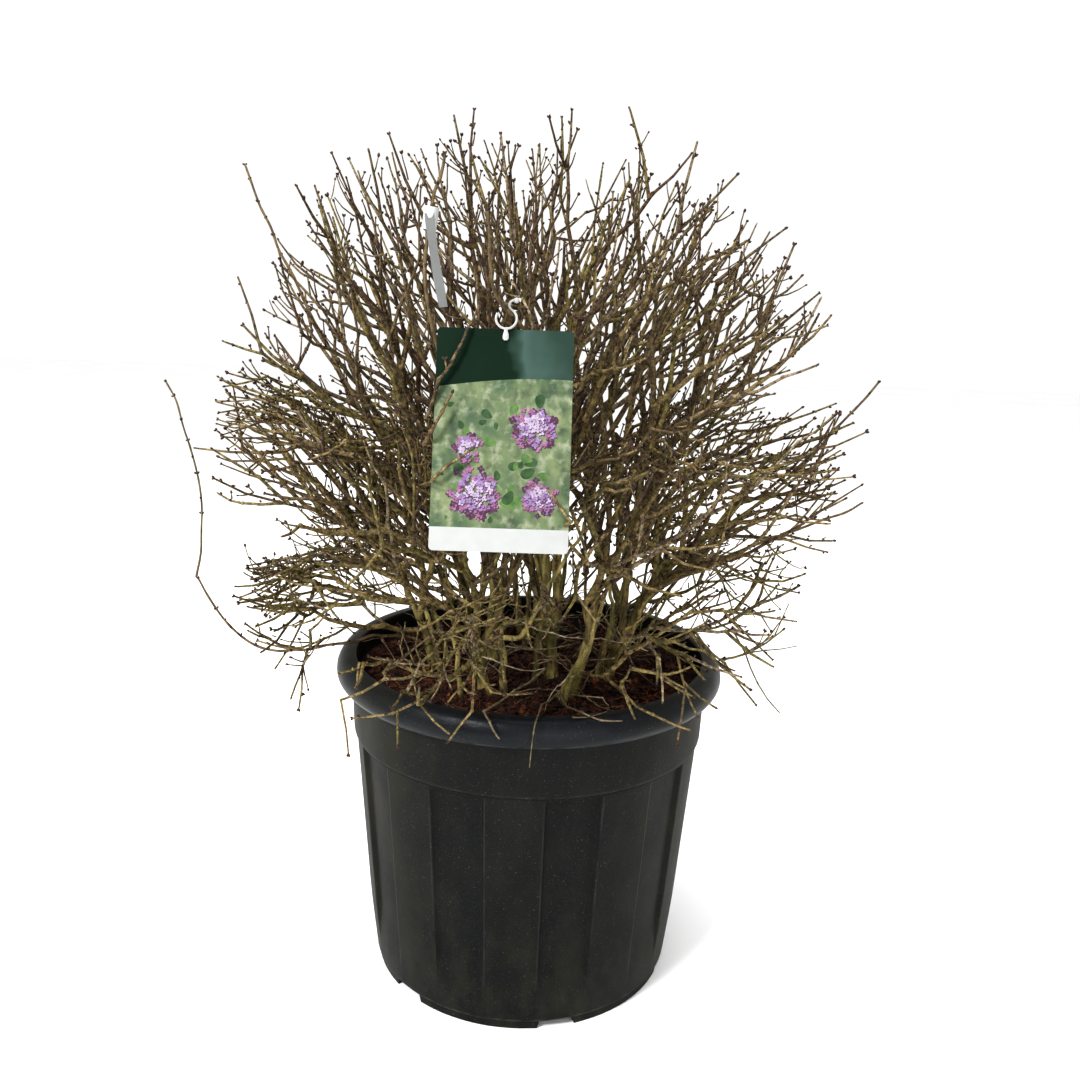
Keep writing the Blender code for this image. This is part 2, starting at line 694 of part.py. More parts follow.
def grow_mass(mass, index, surroundings):
    """The axes of a mass, each as its points and its radii: every axis leads on from fork to fork."""
    axes = []
    waiting = [Bud(mass.start, mass.heading, mass.heading.orthogonal(), mass.radius, "m")]
    spots = []
    while waiting and len(spots) < 2 * MOST_TWIGS:
        bud = waiting.pop(0)
        points, radii = [bud.root], [bud.radius]
        last = False
        while not last and len(bud.path) <= MOST_FORKS:
            grown = grow_twig(mass, index, bud, spots, surroundings)
            if grown is None:
                break
            end, last = grown
            spots += [end, (bud.root + end) / 2]
            points.append(end)
            radii.append(max(THINNEST_TWIG, radii[-1] * THINNING_ALONG))
            if not last:
                bud, *others = fork_buds(mass, bud, end, radii[-1])
                waiting += others
        if len(points) > 1:
            axes.append((points, radii))
    return axes


def make_mass(mass, axes, finish):
    """A mass as one solid. Each axis is a three-sided tube whose slim root is sunk in the axis it grows from."""
    pieces = []
    for i, (points, radii) in enumerate(axes):
        if i > 0:
            radii = [radii[0] * SUNK_ROOT, *radii[1:]]
        cut = mass.cut if i == 0 else None
        pieces.append(add_object(mass.name, *tube(points, radii, 3, cut), finish, False))
    pieces[0].name = mass.name
    return join_all(pieces[0], pieces[1:])


# Label, hook and tag
def card_frame():
    """The card's own frame: x across, z up its face, and -y out of its printed side."""
    return Matrix.Translation(CARD_CENTRE) @ Matrix.Rotation(math.radians(-CARD_TILT), 4, "X")


def make_card():
    outline = []
    for x, z, first in ((1, 1, 0), (-1, 1, 90), (-1, -1, 180), (1, -1, 270)):
        for step in range(4):
            turn = math.radians(first + 30 * step)
            corner = Vector((x * (CARD_WIDTH / 2 - CARD_CORNER), 0.0, z * (CARD_HEIGHT / 2 - CARD_CORNER)))
            outline.append(corner + Vector((math.cos(turn), 0.0, math.sin(turn))) * CARD_CORNER)
    front = [point + Vector((0.0, -CARD_THICK / 2, 0.0)) for point in outline]
    back = [point + Vector((0.0, CARD_THICK / 2, 0.0)) for point in outline]
    count = len(outline)
    faces = [tuple(range(count)), tuple(reversed(range(count, 2 * count)))]
    faces += [(a, a + count, (a + 1) % count + count, (a + 1) % count) for a in range(count)]
    card = add_object("label_card", front + back, faces, material("printed_card", (0.05, 0.16, 0.10), 0.3), False)
    card.matrix_world = card_frame()
    return card


def hook_ring():
    """The middle of the hook's ring and its outward direction at its closed end, in the card's frame."""
    middle = Vector((0.0, -CARD_THICK / 2 - CLEAR - HOOK_WIRE, CARD_HEIGHT / 2 + HOOK_RING))
    turn = math.radians(HOOK_END_ANGLE)
    return middle, Vector((math.cos(turn), 0.0, math.sin(turn)))


def hook_seat(shoot_radius):
    """Where the carrying shoot passes through the ring, just inside its closed end, and the shoot's heading."""
    frame = card_frame()
    middle, outwards = hook_ring()
    inside = HOOK_RING - HOOK_WIRE - shoot_radius - 1.5 * CLEAR
    along_ring = Vector((-outwards.z, 0.0, outwards.x))
    heading = frame.to_3x3() @ (Vector((0.0, -0.75, 0.0)) + along_ring * 0.65)
    return frame @ (middle + outwards * inside), heading.normalized()


def arc(middle, radius, first, last, count):
    """Points along an arc in the card's plane."""
    points = []
    for step in range(count + 1):
        turn = math.radians(first + (last - first) * step / count)
        points.append(middle + Vector((math.cos(turn), 0.0, math.sin(turn))) * radius)
    return points


def make_hook():
    """A clip on the card's top edge, an open ring round the shoot that carries it, and a curl with a ball end."""
    middle, outwards = hook_ring()
    curl_middle = middle + outwards * (HOOK_RING + HOOK_CURL)
    route = arc(middle, HOOK_RING, 150, 360 + HOOK_END_ANGLE, 12)
    route += arc(curl_middle, HOOK_CURL, HOOK_END_ANGLE + 180, 75, 4)[1:]
    finish = material("white_plastic", (0.8, 0.8, 0.78), 0.35)
    hook = add_object("label_hook", *tube(route, [HOOK_WIRE] * len(route), 6), finish)
    clip_middle = Vector((0.0, middle.y, CARD_HEIGHT / 2 - 0.005))
    clip = add_object("clip", *box_faces(HOOK_CLIP, clip_middle), finish, False)
    join_all(hook, [clip, ball_object(route[-1], HOOK_BALL, finish)])
    hook.matrix_world = card_frame()
    return hook


def box_faces(size, centre):
    corners = []
    for x, y, z in ((-1, -1, -1), (1, -1, -1), (1, 1, -1), (-1, 1, -1), (-1, -1, 1), (1, -1, 1), (1, 1, 1), (-1, 1, 1)):
        corners.append(centre + Vector((x * size.x, y * size.y, z * size.z)) / 2)
    faces = [(3, 2, 1, 0), (4, 5, 6, 7), (0, 1, 5, 4), (1, 2, 6, 5), (2, 3, 7, 6), (3, 0, 4, 7)]
    return corners, faces


def ball_object(centre, radius, finish):
    shape = bmesh.new()
    bmesh.ops.create_icosphere(shape, subdivisions=1, radius=radius, matrix=Matrix.Translation(centre))
    mesh = bpy.data.meshes.new("ball")
    shape.to_mesh(mesh)
    shape.free()
    mesh.materials.append(finish)
    made = bpy.data.objects.new("ball", mesh)
    bpy.context.scene.collection.objects.link(made)
    return made


def make_tag():
    """A white strap rolled round a shoot, with its free end hanging down."""
    middle, along = TAG_SEAT, TAG_HEADING.normalized()
    bore = SEAT_RADIUS + 0.0006
    half = TAG_ROLL_HEIGHT / 2
    finish = material("white_strap", (0.78, 0.79, 0.78), 0.45)
    outside = add_object("strap_tag", *tube([middle - along * half, middle + along * half],
                                            [TAG_ROLL_RADIUS] * 2, 16), finish)
    tail = tag_tail(middle, half, finish)
    join_all(outside, [tail])
    cutter = add_object("bore", *tube([middle - along * half * 2, middle + along * half * 2], [bore] * 2, 8), finish)
    return join_all(outside, [cutter], "DIFFERENCE")


def tag_tail(middle, half, finish):
    """The strap's free end: a thin band that hangs from the front of the roll."""
    points = []
    pieces = 6
    for i in range(pieces + 1):
        down = i / pieces
        x = 0.014 * down**1.2
        y = -TAG_ROLL_RADIUS + 0.0012 - 0.004 * math.sin(math.pi * down)
        z = half * 0.4 - TAG_TAIL_LENGTH * down
        for dx, dy in ((-1, -1), (1, -1), (1, 1), (-1, 1)):
            offset = Vector((x + dx * TAG_TAIL_WIDTH / 2, y + dy * TAG_TAIL_THICK / 2, z))
            points.append(middle + offset)
    faces = [(0, 1, 2, 3)]
    for i in range(pieces):
        low = 4 * i
        for a in range(4):
            b = (a + 1) % 4
            faces.append((low + b, low + a, low + 4 + a, low + 4 + b))
    faces.append(tuple(reversed(range(4 * pieces, 4 * pieces + 4))))
    return add_object("tail", points, faces, finish, False)


def main():
    for old in list(bpy.data.objects):
        bpy.data.objects.remove(old)
    make_pot()
    make_compost()
    limbs = make_limbs()
    bark = material("olive_bark", (0.16, 0.14, 0.075), 0.8)
    young_bark = material("brown_bark", (0.15, 0.105, 0.06), 0.75)
    twig_bark = material("twig_bark", (0.13, 0.085, 0.05), 0.75)
    for limb in limbs.values():
        finish = bark if limb.name.startswith("stem") else young_bark
        add_object(limb.name, *tube(limb.points, limb.radii, limb.sides, limb.cut), finish)
    masses = plan_masses(limbs)
    surroundings = Surroundings(masses, limbs)
    for index, mass in enumerate(masses):
        make_mass(mass, grow_mass(mass, index, surroundings), twig_bark)
    make_card()
    make_hook()
    make_tag()


if __name__ == "__main__":
    main()
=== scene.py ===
"""The looks of a leafless dwarf lilac bush in its nursery pot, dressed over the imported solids."""

import json
import math
import random
from dataclasses import dataclass
from functools import lru_cache

import bmesh
import bpy
import numpy as np
from mathutils import Matrix, Vector, noise

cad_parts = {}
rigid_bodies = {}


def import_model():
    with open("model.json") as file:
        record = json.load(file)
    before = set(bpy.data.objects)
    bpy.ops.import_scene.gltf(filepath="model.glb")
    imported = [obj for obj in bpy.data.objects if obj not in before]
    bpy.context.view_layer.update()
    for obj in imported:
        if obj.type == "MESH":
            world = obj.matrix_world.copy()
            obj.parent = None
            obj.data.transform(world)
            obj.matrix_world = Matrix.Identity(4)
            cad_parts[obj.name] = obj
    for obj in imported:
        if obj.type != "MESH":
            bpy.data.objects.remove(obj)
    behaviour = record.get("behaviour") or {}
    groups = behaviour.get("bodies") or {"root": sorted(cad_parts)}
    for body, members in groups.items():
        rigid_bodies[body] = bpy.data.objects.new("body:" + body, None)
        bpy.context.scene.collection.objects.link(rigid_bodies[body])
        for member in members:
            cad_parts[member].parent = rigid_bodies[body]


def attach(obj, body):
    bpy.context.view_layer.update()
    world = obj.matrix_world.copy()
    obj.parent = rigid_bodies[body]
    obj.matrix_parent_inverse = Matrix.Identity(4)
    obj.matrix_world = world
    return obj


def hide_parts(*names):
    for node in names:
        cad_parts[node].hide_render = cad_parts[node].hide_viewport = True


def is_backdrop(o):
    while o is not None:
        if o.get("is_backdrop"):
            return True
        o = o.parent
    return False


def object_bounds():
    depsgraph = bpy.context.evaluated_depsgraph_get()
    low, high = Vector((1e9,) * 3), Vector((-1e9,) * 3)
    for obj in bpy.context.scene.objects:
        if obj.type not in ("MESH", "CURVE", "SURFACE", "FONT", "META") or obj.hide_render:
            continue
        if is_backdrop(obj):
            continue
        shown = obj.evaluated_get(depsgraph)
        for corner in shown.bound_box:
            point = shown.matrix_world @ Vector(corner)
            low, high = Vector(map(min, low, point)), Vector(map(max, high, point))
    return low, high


# Everything is in metres. The origin is the centre of the pot's flat underside, and the front is -Y.
# An angle round the pot is measured in degrees from the front towards +X.
# The sizes and the growth rule of the solids come first, the same as in the part's own source.

CLEAR = 0.0003

# Pot
LIP_RADIUS = 0.243
LIP_BOTTOM = 0.390
LIP_TOP = 0.4185
LIP_INNER_RADIUS = 0.220
COLLAR_RADIUS = 0.2225
COLLAR_BOTTOM = 0.3195
BODY_TOP_RADIUS = 0.2200
BODY_LOW_RADIUS = 0.2030
BODY_LOW = 0.085
FOOT_RADIUS = 0.192
FOOT_HEIGHT = 0.0125
FOOT_WIDTH = 0.012
WALL = 0.0100
PAD_RADIUS = 0.045
FLUTES = 10
FLUTE_HALF_ANGLE = 9.2
FLUTE_TURN = -3.0
FLUTE_DEPTH = 0.0055
FLUTE_FADE = 0.05
NOTCHES = 6
NOTCH_FIRST_ANGLE = 14.0
NOTCH_ANGLE = 14.0

# Compost
SOIL = 0.398
SOIL_FLAT_RADIUS = 0.165

# Crown: an upright, blunt-topped round that spreads from a fan centre just above the compost
CROWN_X = -0.012
CROWN_RADIUS = 0.375
CROWN_WIDEST = 0.69
CROWN_TOP = 1.062
CROWN_LOW_HEIGHT = 0.45
CROWN_BLUNTNESS = 2.5
CROWN_LOBES = 0.035
FAN_CENTRE = Vector((0.0, 0.0, 0.43))
SOIL_FLOOR = 0.408
RIM_FLOOR = 0.4245
RIM_FLOOR_RADII = (0.205, 0.268)
DROOP_FLOOR = 0.345
REACH_STEP = 0.004

# Stems: three rise through the middle, seven lean outwards round them
INNER_STEMS = 3
INNER_FIRST_ANGLE = 35.0
INNER_BASE_RADIUS = 0.05
INNER_THICKNESS = 0.0072
INNER_LEANS = (6.0, 10.0)
INNER_PIECES = 12
INNER_KINK = 0.0028
OUTER_STEMS = 7
OUTER_BASE_RADIUS = 0.112
OUTER_FIRST_ANGLE = -82.0
OUTER_THICKNESS = 0.0064
OUTER_HEIGHT = 0.088
OUTER_SPREAD = 0.032
OUTER_LEANS = (12.0, 30.0)
OUTER_PIECES = 5
OUTER_KINK = 0.0015
ROOT_FLARE = 0.35

# Boughs and masses, as angles from the vertical seen from the fan centre and as shares of the crown's reach,
# with each ring's usual shoot and how often three shoots grow at a fork in place of two
BOUGH_THICKNESS = 0.0046
BOUGH_TIP = 0.0035
BOUGH_PIECES = {"outer": 6, "upper": 8}
BOUGH_KINKS = {"outer": 0.002, "upper": 0.0025}
FORK_ANGLE = 38.0
LOW_HEADING = 52.0
LOW_OFFSET = 13.0
LOW_THICKNESS = 0.0032
RINGS = {
    "top": {"angle": 13.0, "tip": 0.40, "centre": 0.72, "shoot": 0.058, "third": 0.1},
    "upper": {"angle": 35.0, "tip": 0.42, "centre": 0.74, "shoot": 0.055, "third": 0.1},
    "outer": {"angle": 58.0, "tip": 0.44, "centre": 0.75, "shoot": 0.048, "third": 0.2},
    "low": {"angle": 83.0, "tip": 0.0, "centre": 0.74, "shoot": 0.045, "third": 0.2},
}

# Twigs
SHORTEST_SHOOT = 0.016
TWIG_FORK = (15.0, 31.0)
LONG_CHANCE = 0.06
LONG_REACH = 1.09
MOST_FORKS = 6
MOST_TWIGS = 44
TRIES = 10
WIDEST_TRY = 34.0
LEAST_ROOM = 0.012
OUTWARD_PULL = 0.16
SPACE_PULL = 0.5
UPWARD_PULL = 0.07
THINNING_ALONG = 0.83
SIDE_THINNING = 0.85
FORK_STEP = 0.006
THINNEST_TWIG = 0.0011
SPACE_MARGIN = 0.003
TWIG_MARGIN = 0.0018

# Long single shoots that stand out of the crown, by the limb and the piece of it that each grows from.
# Some run straight for a stretch at a seat: past the pot's lip, in the hook's ring or in the strap's roll.
SHOOT_THICKNESS = 0.0024
SHOOT_TIP = 0.0013
SHOOT_PIECE = 0.03
SHOOT_KINK = 0.0018
SEAT_RADIUS = 0.0017
SEAT_HALF_LENGTH = 0.013
LIP_SEAT = Vector((-0.306, -0.042, 0.419))
LIP_HEADING = Vector((-0.998, 0.0, -0.06))
TAG_SEAT = Vector((-0.106, -0.262, 0.931))
TAG_HEADING = Vector((0.14, -0.04, 0.989))
SHOOTS = {
    "left_low": {"from": "stem_outer_1", "piece": 1, "tip": (-0.412, -0.040, 0.512), "rise": 0.55},
    "top_left": {"from": "bough_upper_1", "piece": 4, "tip": (-0.352, 0.010, 1.003), "rise": 0.5},
    "right_high": {"from": "bough_outer_4", "piece": 4, "tip": (0.412, -0.010, 0.776), "rise": 0.3},
    "right_low": {"from": "bough_outer_4", "piece": 2, "tip": (0.414, 0.010, 0.622), "rise": 0.1},
    "label": {"from": "bough_upper_2", "piece": 3, "tip": (-0.050, -0.322, 0.940), "rise": 0.8},
    "tag": {"from": "bough_upper_2", "piece": 5, "tip": (-0.092, -0.266, 0.992), "rise": 1.2},
}
LEFT_HIGH_TIP = Vector((-0.438, -0.045, 0.752))
LEFT_HIGH_HEADINGS = (Vector((0.3, 0.0, 1.0)), Vector((-0.45, 0.0, 0.9)))
LEFT_HIGH_THINNEST = 0.001
LEFT_HIGH_PIECES = 8
LEFT_HIGH_KINK = 0.002

# Label and its hook
CARD_WIDTH = 0.125
CARD_HEIGHT = 0.205
CARD_THICK = 0.0007
CARD_CORNER = 0.004
CARD_CENTRE = Vector((-0.031, -0.343, 0.737))
CARD_TILT = 20.0
HOOK_WIRE = 0.0012
HOOK_RING = 0.0095
HOOK_END_ANGLE = 60.0
HOOK_CURL = 0.005
HOOK_BALL = 0.0027

# Strap tag
TAG_ROLL_RADIUS = 0.0072
TAG_ROLL_HEIGHT = 0.021
TAG_TAIL_WIDTH = 0.009
TAG_TAIL_THICK = 0.0006
TAG_TAIL_LENGTH = 0.085

# Room that twigs leave round the card, the hook's ring and the tag, and how closely a twig is tested
CARD_ROOM = 0.005
RING_ROOM = (0.016, 0.007, 0.045)
TAG_ROOM = (2.4 * TAG_ROLL_RADIUS, 1.7 * TAG_ROLL_RADIUS, 0.004)
TEST_STEP = 0.006

# Finer growth: how many twigs a mass has in all, their room, and how far past its space they may end
THIN_BOUGH_TWIGS = 15
THIN_BOUGH_FLOOR = 0.50
THIN_BOUGH_AHEAD = 0.1
FINE_TWIGS = {"top": 76, "upper": 100, "outer": 160, "low": 150}
FINE_ROOM = 0.0068
FINE_SHARE = 0.82
FINE_MARGIN = -0.018
FINE_FORKS = 8
FINE_REACH = {"top": 0.920, "upper": 0.930, "outer": 0.965, "low": 0.940}
FINE_UPWARDS = 0.30

# Nodes along a twig, and how often each of their two sides has a short shoot, a stub or a bud
NODE_GAP = (0.016, 0.030)
NODE_MARGIN = 0.006
SIDE_CHANCE = 0.28
STUB_CHANCE = 0.17
SIDE_BUD_CHANCE = 0.24
SIDE_LENGTH = (0.012, 0.048)
STUB_LENGTH = (0.004, 0.010)
SIDE_ANGLE = (30.0, 58.0)
SIDE_REACH = 0.965
SIDE_RADIUS = 0.00105
SIDE_ROOM = 0.001
SIDE_PIECE = 0.012
FINEST_TIP = 0.0006

# Nothing finer grows this close to the solids' box, or hangs this low before or behind the pot
BOX_MARGIN = 0.004
FRONT_HALF_WIDTH = 0.235
FRONT_EDGE = 0.08
FRONT_FLOOR = 0.470

# How thick a twig is drawn, from its tip: the radius there and what each metre back from it adds
TIP_RADIUS = (0.00115, 0.00090)
THICKENING = ((0.0080, 0.0155), (0.0065, 0.0120))
THICKEST_TWIG = 0.0041
LOW_THINNER = 0.55

# Thinner stems that rise beside each stem: how many, how far off, how far they drift from it, and how thick
COMPANIONS = 2
COMPANION_OFF = (0.018, 0.032)
COMPANION_DRIFT = 0.05
COMPANION_RADII = (0.0030, 0.0046)
COMPANION_TIP = 0.0014

# Low boughs on the crown's left: how many, the limbs they leave, how far from the vertical and towards where
LOW_BOUGHS = 18
LOW_BOUGH_LIMBS = (
    "stem_outer_1", "bough_outer_1", "bough_upper_1",
    "bough_outer_7", "stem_outer_7", "bough_outer_2",
)
LOW_BOUGH_LEAN = (60.0, 92.0)
LOW_BOUGH_ANGLES = (-118.0, -62.0)
LOW_BOUGH_RADIUS = 0.0030

# The look of a twig: half the length of a node's swelling, how much it swells, and how far a twig bows
NODE_HALF = 0.0030
NODE_SWELL = 1.38
BOW = 0.040
SAG = 0.055
STOUT_TWIG = 0.0017

# Where the twigs' colour turns from olive to brown, over what height, and how thick old wood is
BROWN_FROM = 0.48
BROWN_RISE = 0.42
OLD_WOOD = 0.003

# Buds
BUD_LENGTH = (0.0027, 0.0045)
BUD_WIDTH = 0.37
BUD_LEAN = (28.0, 55.0)
TIP_PAIR_CHANCE = 0.56
TIP_BARE_CHANCE = 0.16
TIP_BUD_LEAN = (20.0, 42.0)
TIP_BUD_SUNK = 0.0012
BUD_SIDES = 5
BROWN_BUD_EVERY = 3

# Bark: the distance between the nodes of a limb, the length of their swelling and of the knotty foot of a
# stem, and how deep a limb is let into the compost or into what carries it
LIMB_NODE_GAP = (0.028, 0.046)
LIMB_NODE_HALF = 0.0032
KNOTTY_LENGTH = 0.014
STEM_SUNK = 0.010
LIMB_SUNK = 0.009

# The pot's flutes: the angle over which an edge bends, and the heights where they begin and are fully deep
FLUTE_BEND = 1.3
FLUTE_TOP = COLLAR_BOTTOM - 0.0045
FLUTE_FULL = COLLAR_BOTTOM - 0.0065

# The pot's lip, which reaches a little lower and further out than the solid's, and the height of its rows
LIP_UNDER = LIP_BOTTOM - 0.0045
LIP_EDGE = LIP_RADIUS + 0.0015
POT_ROW = 0.0125

# Compost: its mounds, clods and crumbs, each by its waves a metre, its slice of the noise and its height
RELIEF = ((14.0, 1.7, 0.0055), (58.0, 4.1, 0.0062), (190.0, 8.3, 0.0030))
RELIEF_BASE = SOIL + 0.0005
MARGIN_DROP = 0.007
CRUMB_RINGS = 46
CRUMB_SPOKES = 150
FIBRES = 4200
FIBRE_LENGTH = (0.007, 0.030)
FIBRE_RADIUS = (0.00022, 0.00055)
STRAWS = 46
STRAW_LENGTH = (0.02, 0.05)
FLAKES = 2600
FLAKE_SIZES = ((0.0018, 0.0080), (0.0010, 0.0038), (0.0004, 0.0013))

# Dry twigs over the compost, from the stems' feet
DRY_TWIGS_EACH = 7
DRY_LENGTH = (0.04, 0.12)
DRY_RADIUS = 0.0009
DRY_PIECE = 0.014
DRY_START = (0.004, 0.05)
DRY_SIDE_LENGTH = (0.02, 0.05)
DRY_EDGE = 0.222
DRY_OVER_SOIL = 0.004
DRY_OVER_LIP = 0.0025
DRY_LOWEST = 0.36

# Camera
CAMERA_PLACE = Vector((0.0, -1.295, 0.877))
CAMERA_DOWN = 13.71
CAMERA_TURN = 0.38
CAMERA_ROLL = 1.95
SENSOR = 36.0
LENS = SENSOR * 1060.0 / 1080.0

# Twigs that cross the label's face, from root to tip, each grown from the nearest wood of the crown
LABEL_TWIG_ROOT = 0.0021
LABEL_TWIG_TIP = 0.0012
LABEL_TWIGS = (
    ((-0.090, -0.332, 0.788), (-0.079, -0.326, 0.803), (-0.072, -0.321, 0.817), (-0.066, -0.315, 0.833),
     (-0.059, -0.300, 0.849)),
    ((-0.100, -0.340, 0.693), (-0.090, -0.364, 0.704), (-0.078, -0.360, 0.715), (-0.057, -0.355, 0.730)),
    ((-0.094, -0.352, 0.744), (-0.085, -0.346, 0.761), (-0.075, -0.338, 0.781)),
    ((0.033, -0.376, 0.670), (0.011, -0.366, 0.698)),
)

# Dry twigs that stand out over the compost and the lip: route, radius and shade
DRY_ROUTES = (
    (((0.019, -0.110, 0.431), (-0.015, -0.165, 0.425), (-0.047, -0.231, 0.426), (-0.040, -0.246, 0.421),
      (-0.029, -0.252, 0.404)), 0.0019, 1),
    (((0.035, -0.142, 0.415), (0.015, -0.205, 0.425), (0.009, -0.248, 0.423), (0.007, -0.254, 0.413),
      (0.004, -0.256, 0.374)), 0.0013, 2),
    (((0.035, -0.142, 0.415), (0.059, -0.223, 0.425), (0.079, -0.236, 0.422), (0.102, -0.236, 0.422)),
     0.0015, 1),
    (((0.048, -0.232, 0.423), (0.087, -0.211, 0.422)), 0.0011, 1),
    (((0.038, -0.127, 0.408), (0.087, -0.138, 0.408), (0.092, -0.165, 0.410)), 0.0013, 0),
    (((-0.070, -0.130, 0.456), (-0.043, -0.140, 0.452), (-0.010, -0.140, 0.440), (0.019, -0.120, 0.436)),
     0.0013, 0),
    (((-0.056, -0.120, 0.489), (-0.027, -0.130, 0.500), (-0.007, -0.130, 0.494), (0.026, -0.130, 0.483),
      (0.055, -0.130, 0.478), (0.083, -0.120, 0.475), (0.123, -0.100, 0.465), (0.140, -0.100, 0.454)),
     0.0013, 0),
    (((-0.111, -0.100, 0.444), (-0.073, -0.120, 0.459), (-0.026, -0.130, 0.465), (0.027, -0.130, 0.464),
      (0.058, -0.120, 0.469), (0.095, -0.110, 0.466)), 0.0013, 2),
    (((0.084, -0.060, 0.490), (0.108, -0.090, 0.460), (0.117, -0.100, 0.452), (0.127, -0.120, 0.436),
      (0.155, -0.093, 0.406)), 0.0014, 2),
    (((0.194, -0.030, 0.495), (0.222, -0.040, 0.480), (0.251, -0.050, 0.465), (0.268, -0.050, 0.437),
      (0.286, -0.050, 0.399), (0.317, -0.050, 0.360)), 0.0015, 2),
    (((0.267, -0.050, 0.438), (0.292, -0.050, 0.442), (0.331, -0.050, 0.449)), 0.0011, 2),
)

# Label print: shares of the card's height for its bare foot and its header, how far one ink lies over
# another, sizes of leaves and flowers, the shades of petals from the back of a head to its front, and the
# rounded heads of blossom, each as its middle across and up the card, its radius and its flowers
WHITE_FOOT = 0.105
HEADER_LOW = 0.27
HEADER_ARCH = 0.010
INK_STEP = 0.000001
CARD_FRONT = 0.0004 - CARD_THICK / 2
PRINT_LEAVES = 34
PRINT_LEAF = (0.006, 0.015)
PRINT_FLOWER = (0.0026, 0.0042)
PRINT_EDGE = 0.052
PETAL_SHADES = (("plum", 0.18), ("pink", 0.45), ("lilac", 0.78), ("pale", math.inf))
BLOSSOM_HEADS = (
    (0.029, 0.012, 0.021, 96),
    (-0.031, -0.008, 0.013, 44),
    (-0.022, -0.050, 0.024, 118),
    (0.036, -0.052, 0.016, 60),
)

# Hook: the flat clip over the card's edge, by its reach down the card, its half-widths and its flatness
CLIP_REACH = 0.011
CLIP_HALVES = (0.0016, 0.0030, 0.0028, 0.0019, 0.0016)
CLIP_PLACES = (0.0, 0.15, 0.4, 0.7, 1.0)
CLIP_FLATNESS = 0.42
HOOK_SIDES = 12

# Strap: the turns of its roll, its gap to the shoot, and how far the free end drifts across and outwards
TAG_TURNS = 4.0
TAG_STEPS = 132
TAG_GAP = 0.0008
TAIL_STEPS = 24
TAIL_DRIFT = 0.014
TAIL_BOW = 0.004

# Colours, each as a dark and a light shade
TWIG_SHADES = {
    "twig_olive": ((0.046, 0.036, 0.010), (0.200, 0.158, 0.052)),
    "twig_khaki": ((0.056, 0.040, 0.013), (0.250, 0.186, 0.078)),
    "twig_brown": ((0.032, 0.021, 0.008), (0.150, 0.105, 0.048)),
    "twig_umber": ((0.026, 0.014, 0.007), (0.115, 0.067, 0.032)),
    "twig_grey": ((0.060, 0.044, 0.025), (0.280, 0.220, 0.135)),
}
BUD_SHADES = {
    "bud_dark": ((0.012, 0.005, 0.003), (0.040, 0.018, 0.009)),
    "bud_brown": ((0.028, 0.012, 0.006), (0.075, 0.036, 0.017)),
}
DRY_SHADES = {
    "dry_pale": ((0.120, 0.095, 0.060), (0.330, 0.280, 0.200)),
    "dry_tan": ((0.055, 0.040, 0.022), (0.185, 0.146, 0.092)),
    "dry_olive": ((0.045, 0.038, 0.016), (0.145, 0.124, 0.064)),
}

# Colours of bark, with a third shade for the green bloom and how much of it there is
BARK_SHADES = {
    "olive_bark": ((0.080, 0.064, 0.022), (0.300, 0.240, 0.095), (0.130, 0.128, 0.036), 0.55),
    "khaki_bark": ((0.060, 0.044, 0.017), (0.220, 0.165, 0.070), (0.105, 0.094, 0.030), 0.45),
    "shoot_bark": ((0.046, 0.030, 0.014), (0.160, 0.115, 0.060), (0.090, 0.070, 0.032), 0.30),
}

# Colours of fibres and flakes, with the fineness of their mottling, in waves a metre, and their roughness
FIBRE_SHADES = {
    "fibre_dark": ((0.010, 0.0035, 0.002), (0.030, 0.010, 0.005), 300.0, 0.9),
    "fibre_red": ((0.030, 0.009, 0.0035), (0.085, 0.025, 0.010), 300.0, 0.9),
    "fibre_orange": ((0.080, 0.026, 0.008), (0.200, 0.072, 0.026), 300.0, 0.85),
    "fibre_tan": ((0.150, 0.080, 0.036), (0.320, 0.190, 0.100), 300.0, 0.85),
}
FLAKE_SHADES = {
    "flake_dark": ((0.006, 0.0025, 0.0015), (0.026, 0.009, 0.005), 220.0, 0.92),
    "flake_red": ((0.022, 0.007, 0.003), (0.072, 0.021, 0.009), 220.0, 0.92),
    "flake_orange": ((0.060, 0.018, 0.006), (0.150, 0.050, 0.019), 220.0, 0.9),
}

# Colours of the print, with the fineness of their mottling
PRINT_SHADES = {
    "leaf_dark": ((0.016, 0.040, 0.016), (0.040, 0.078, 0.030), 120.0),
    "leaf_light": ((0.045, 0.090, 0.030), (0.100, 0.160, 0.055), 120.0),
    "lilac": ((0.130, 0.080, 0.175), (0.230, 0.165, 0.290), 260.0),
    "pink": ((0.150, 0.055, 0.115), (0.250, 0.130, 0.215), 260.0),
    "pale": ((0.230, 0.185, 0.270), (0.330, 0.290, 0.350), 260.0),
    "plum": ((0.035, 0.015, 0.035), (0.085, 0.035, 0.070), 260.0),
    "heart": ((0.110, 0.050, 0.080), (0.200, 0.130, 0.090), 260.0),
}

# Lights: name, place, size and power
LIGHTS = (
    ("key_light", (-1.7, -2.2, 2.7), 0.8, 105.0),
    ("front_light", (0.9, -2.9, 0.9), 2.0, 22.0),
    ("top_light", (0.2, 0.2, 3.4), 2.2, 50.0),
)
LIGHT_TARGET = Vector((0.0, 0.0, 0.6))
SURROUND = 0.72
FLOOR_HALF = 9.0


@dataclass
class Limb:
    """A stem, a bough or a long shoot: points along its middle, with the radius at each."""

    name: str
    points: list
    radii: list


@dataclass
class Mass:
    """A mass of twigs: where its own stem starts, and the middle of the space that it keeps to."""

    name: str
    start: Vector
    heading: Vector
    radius: float
    centre: Vector
    carrier: str
    ring: str


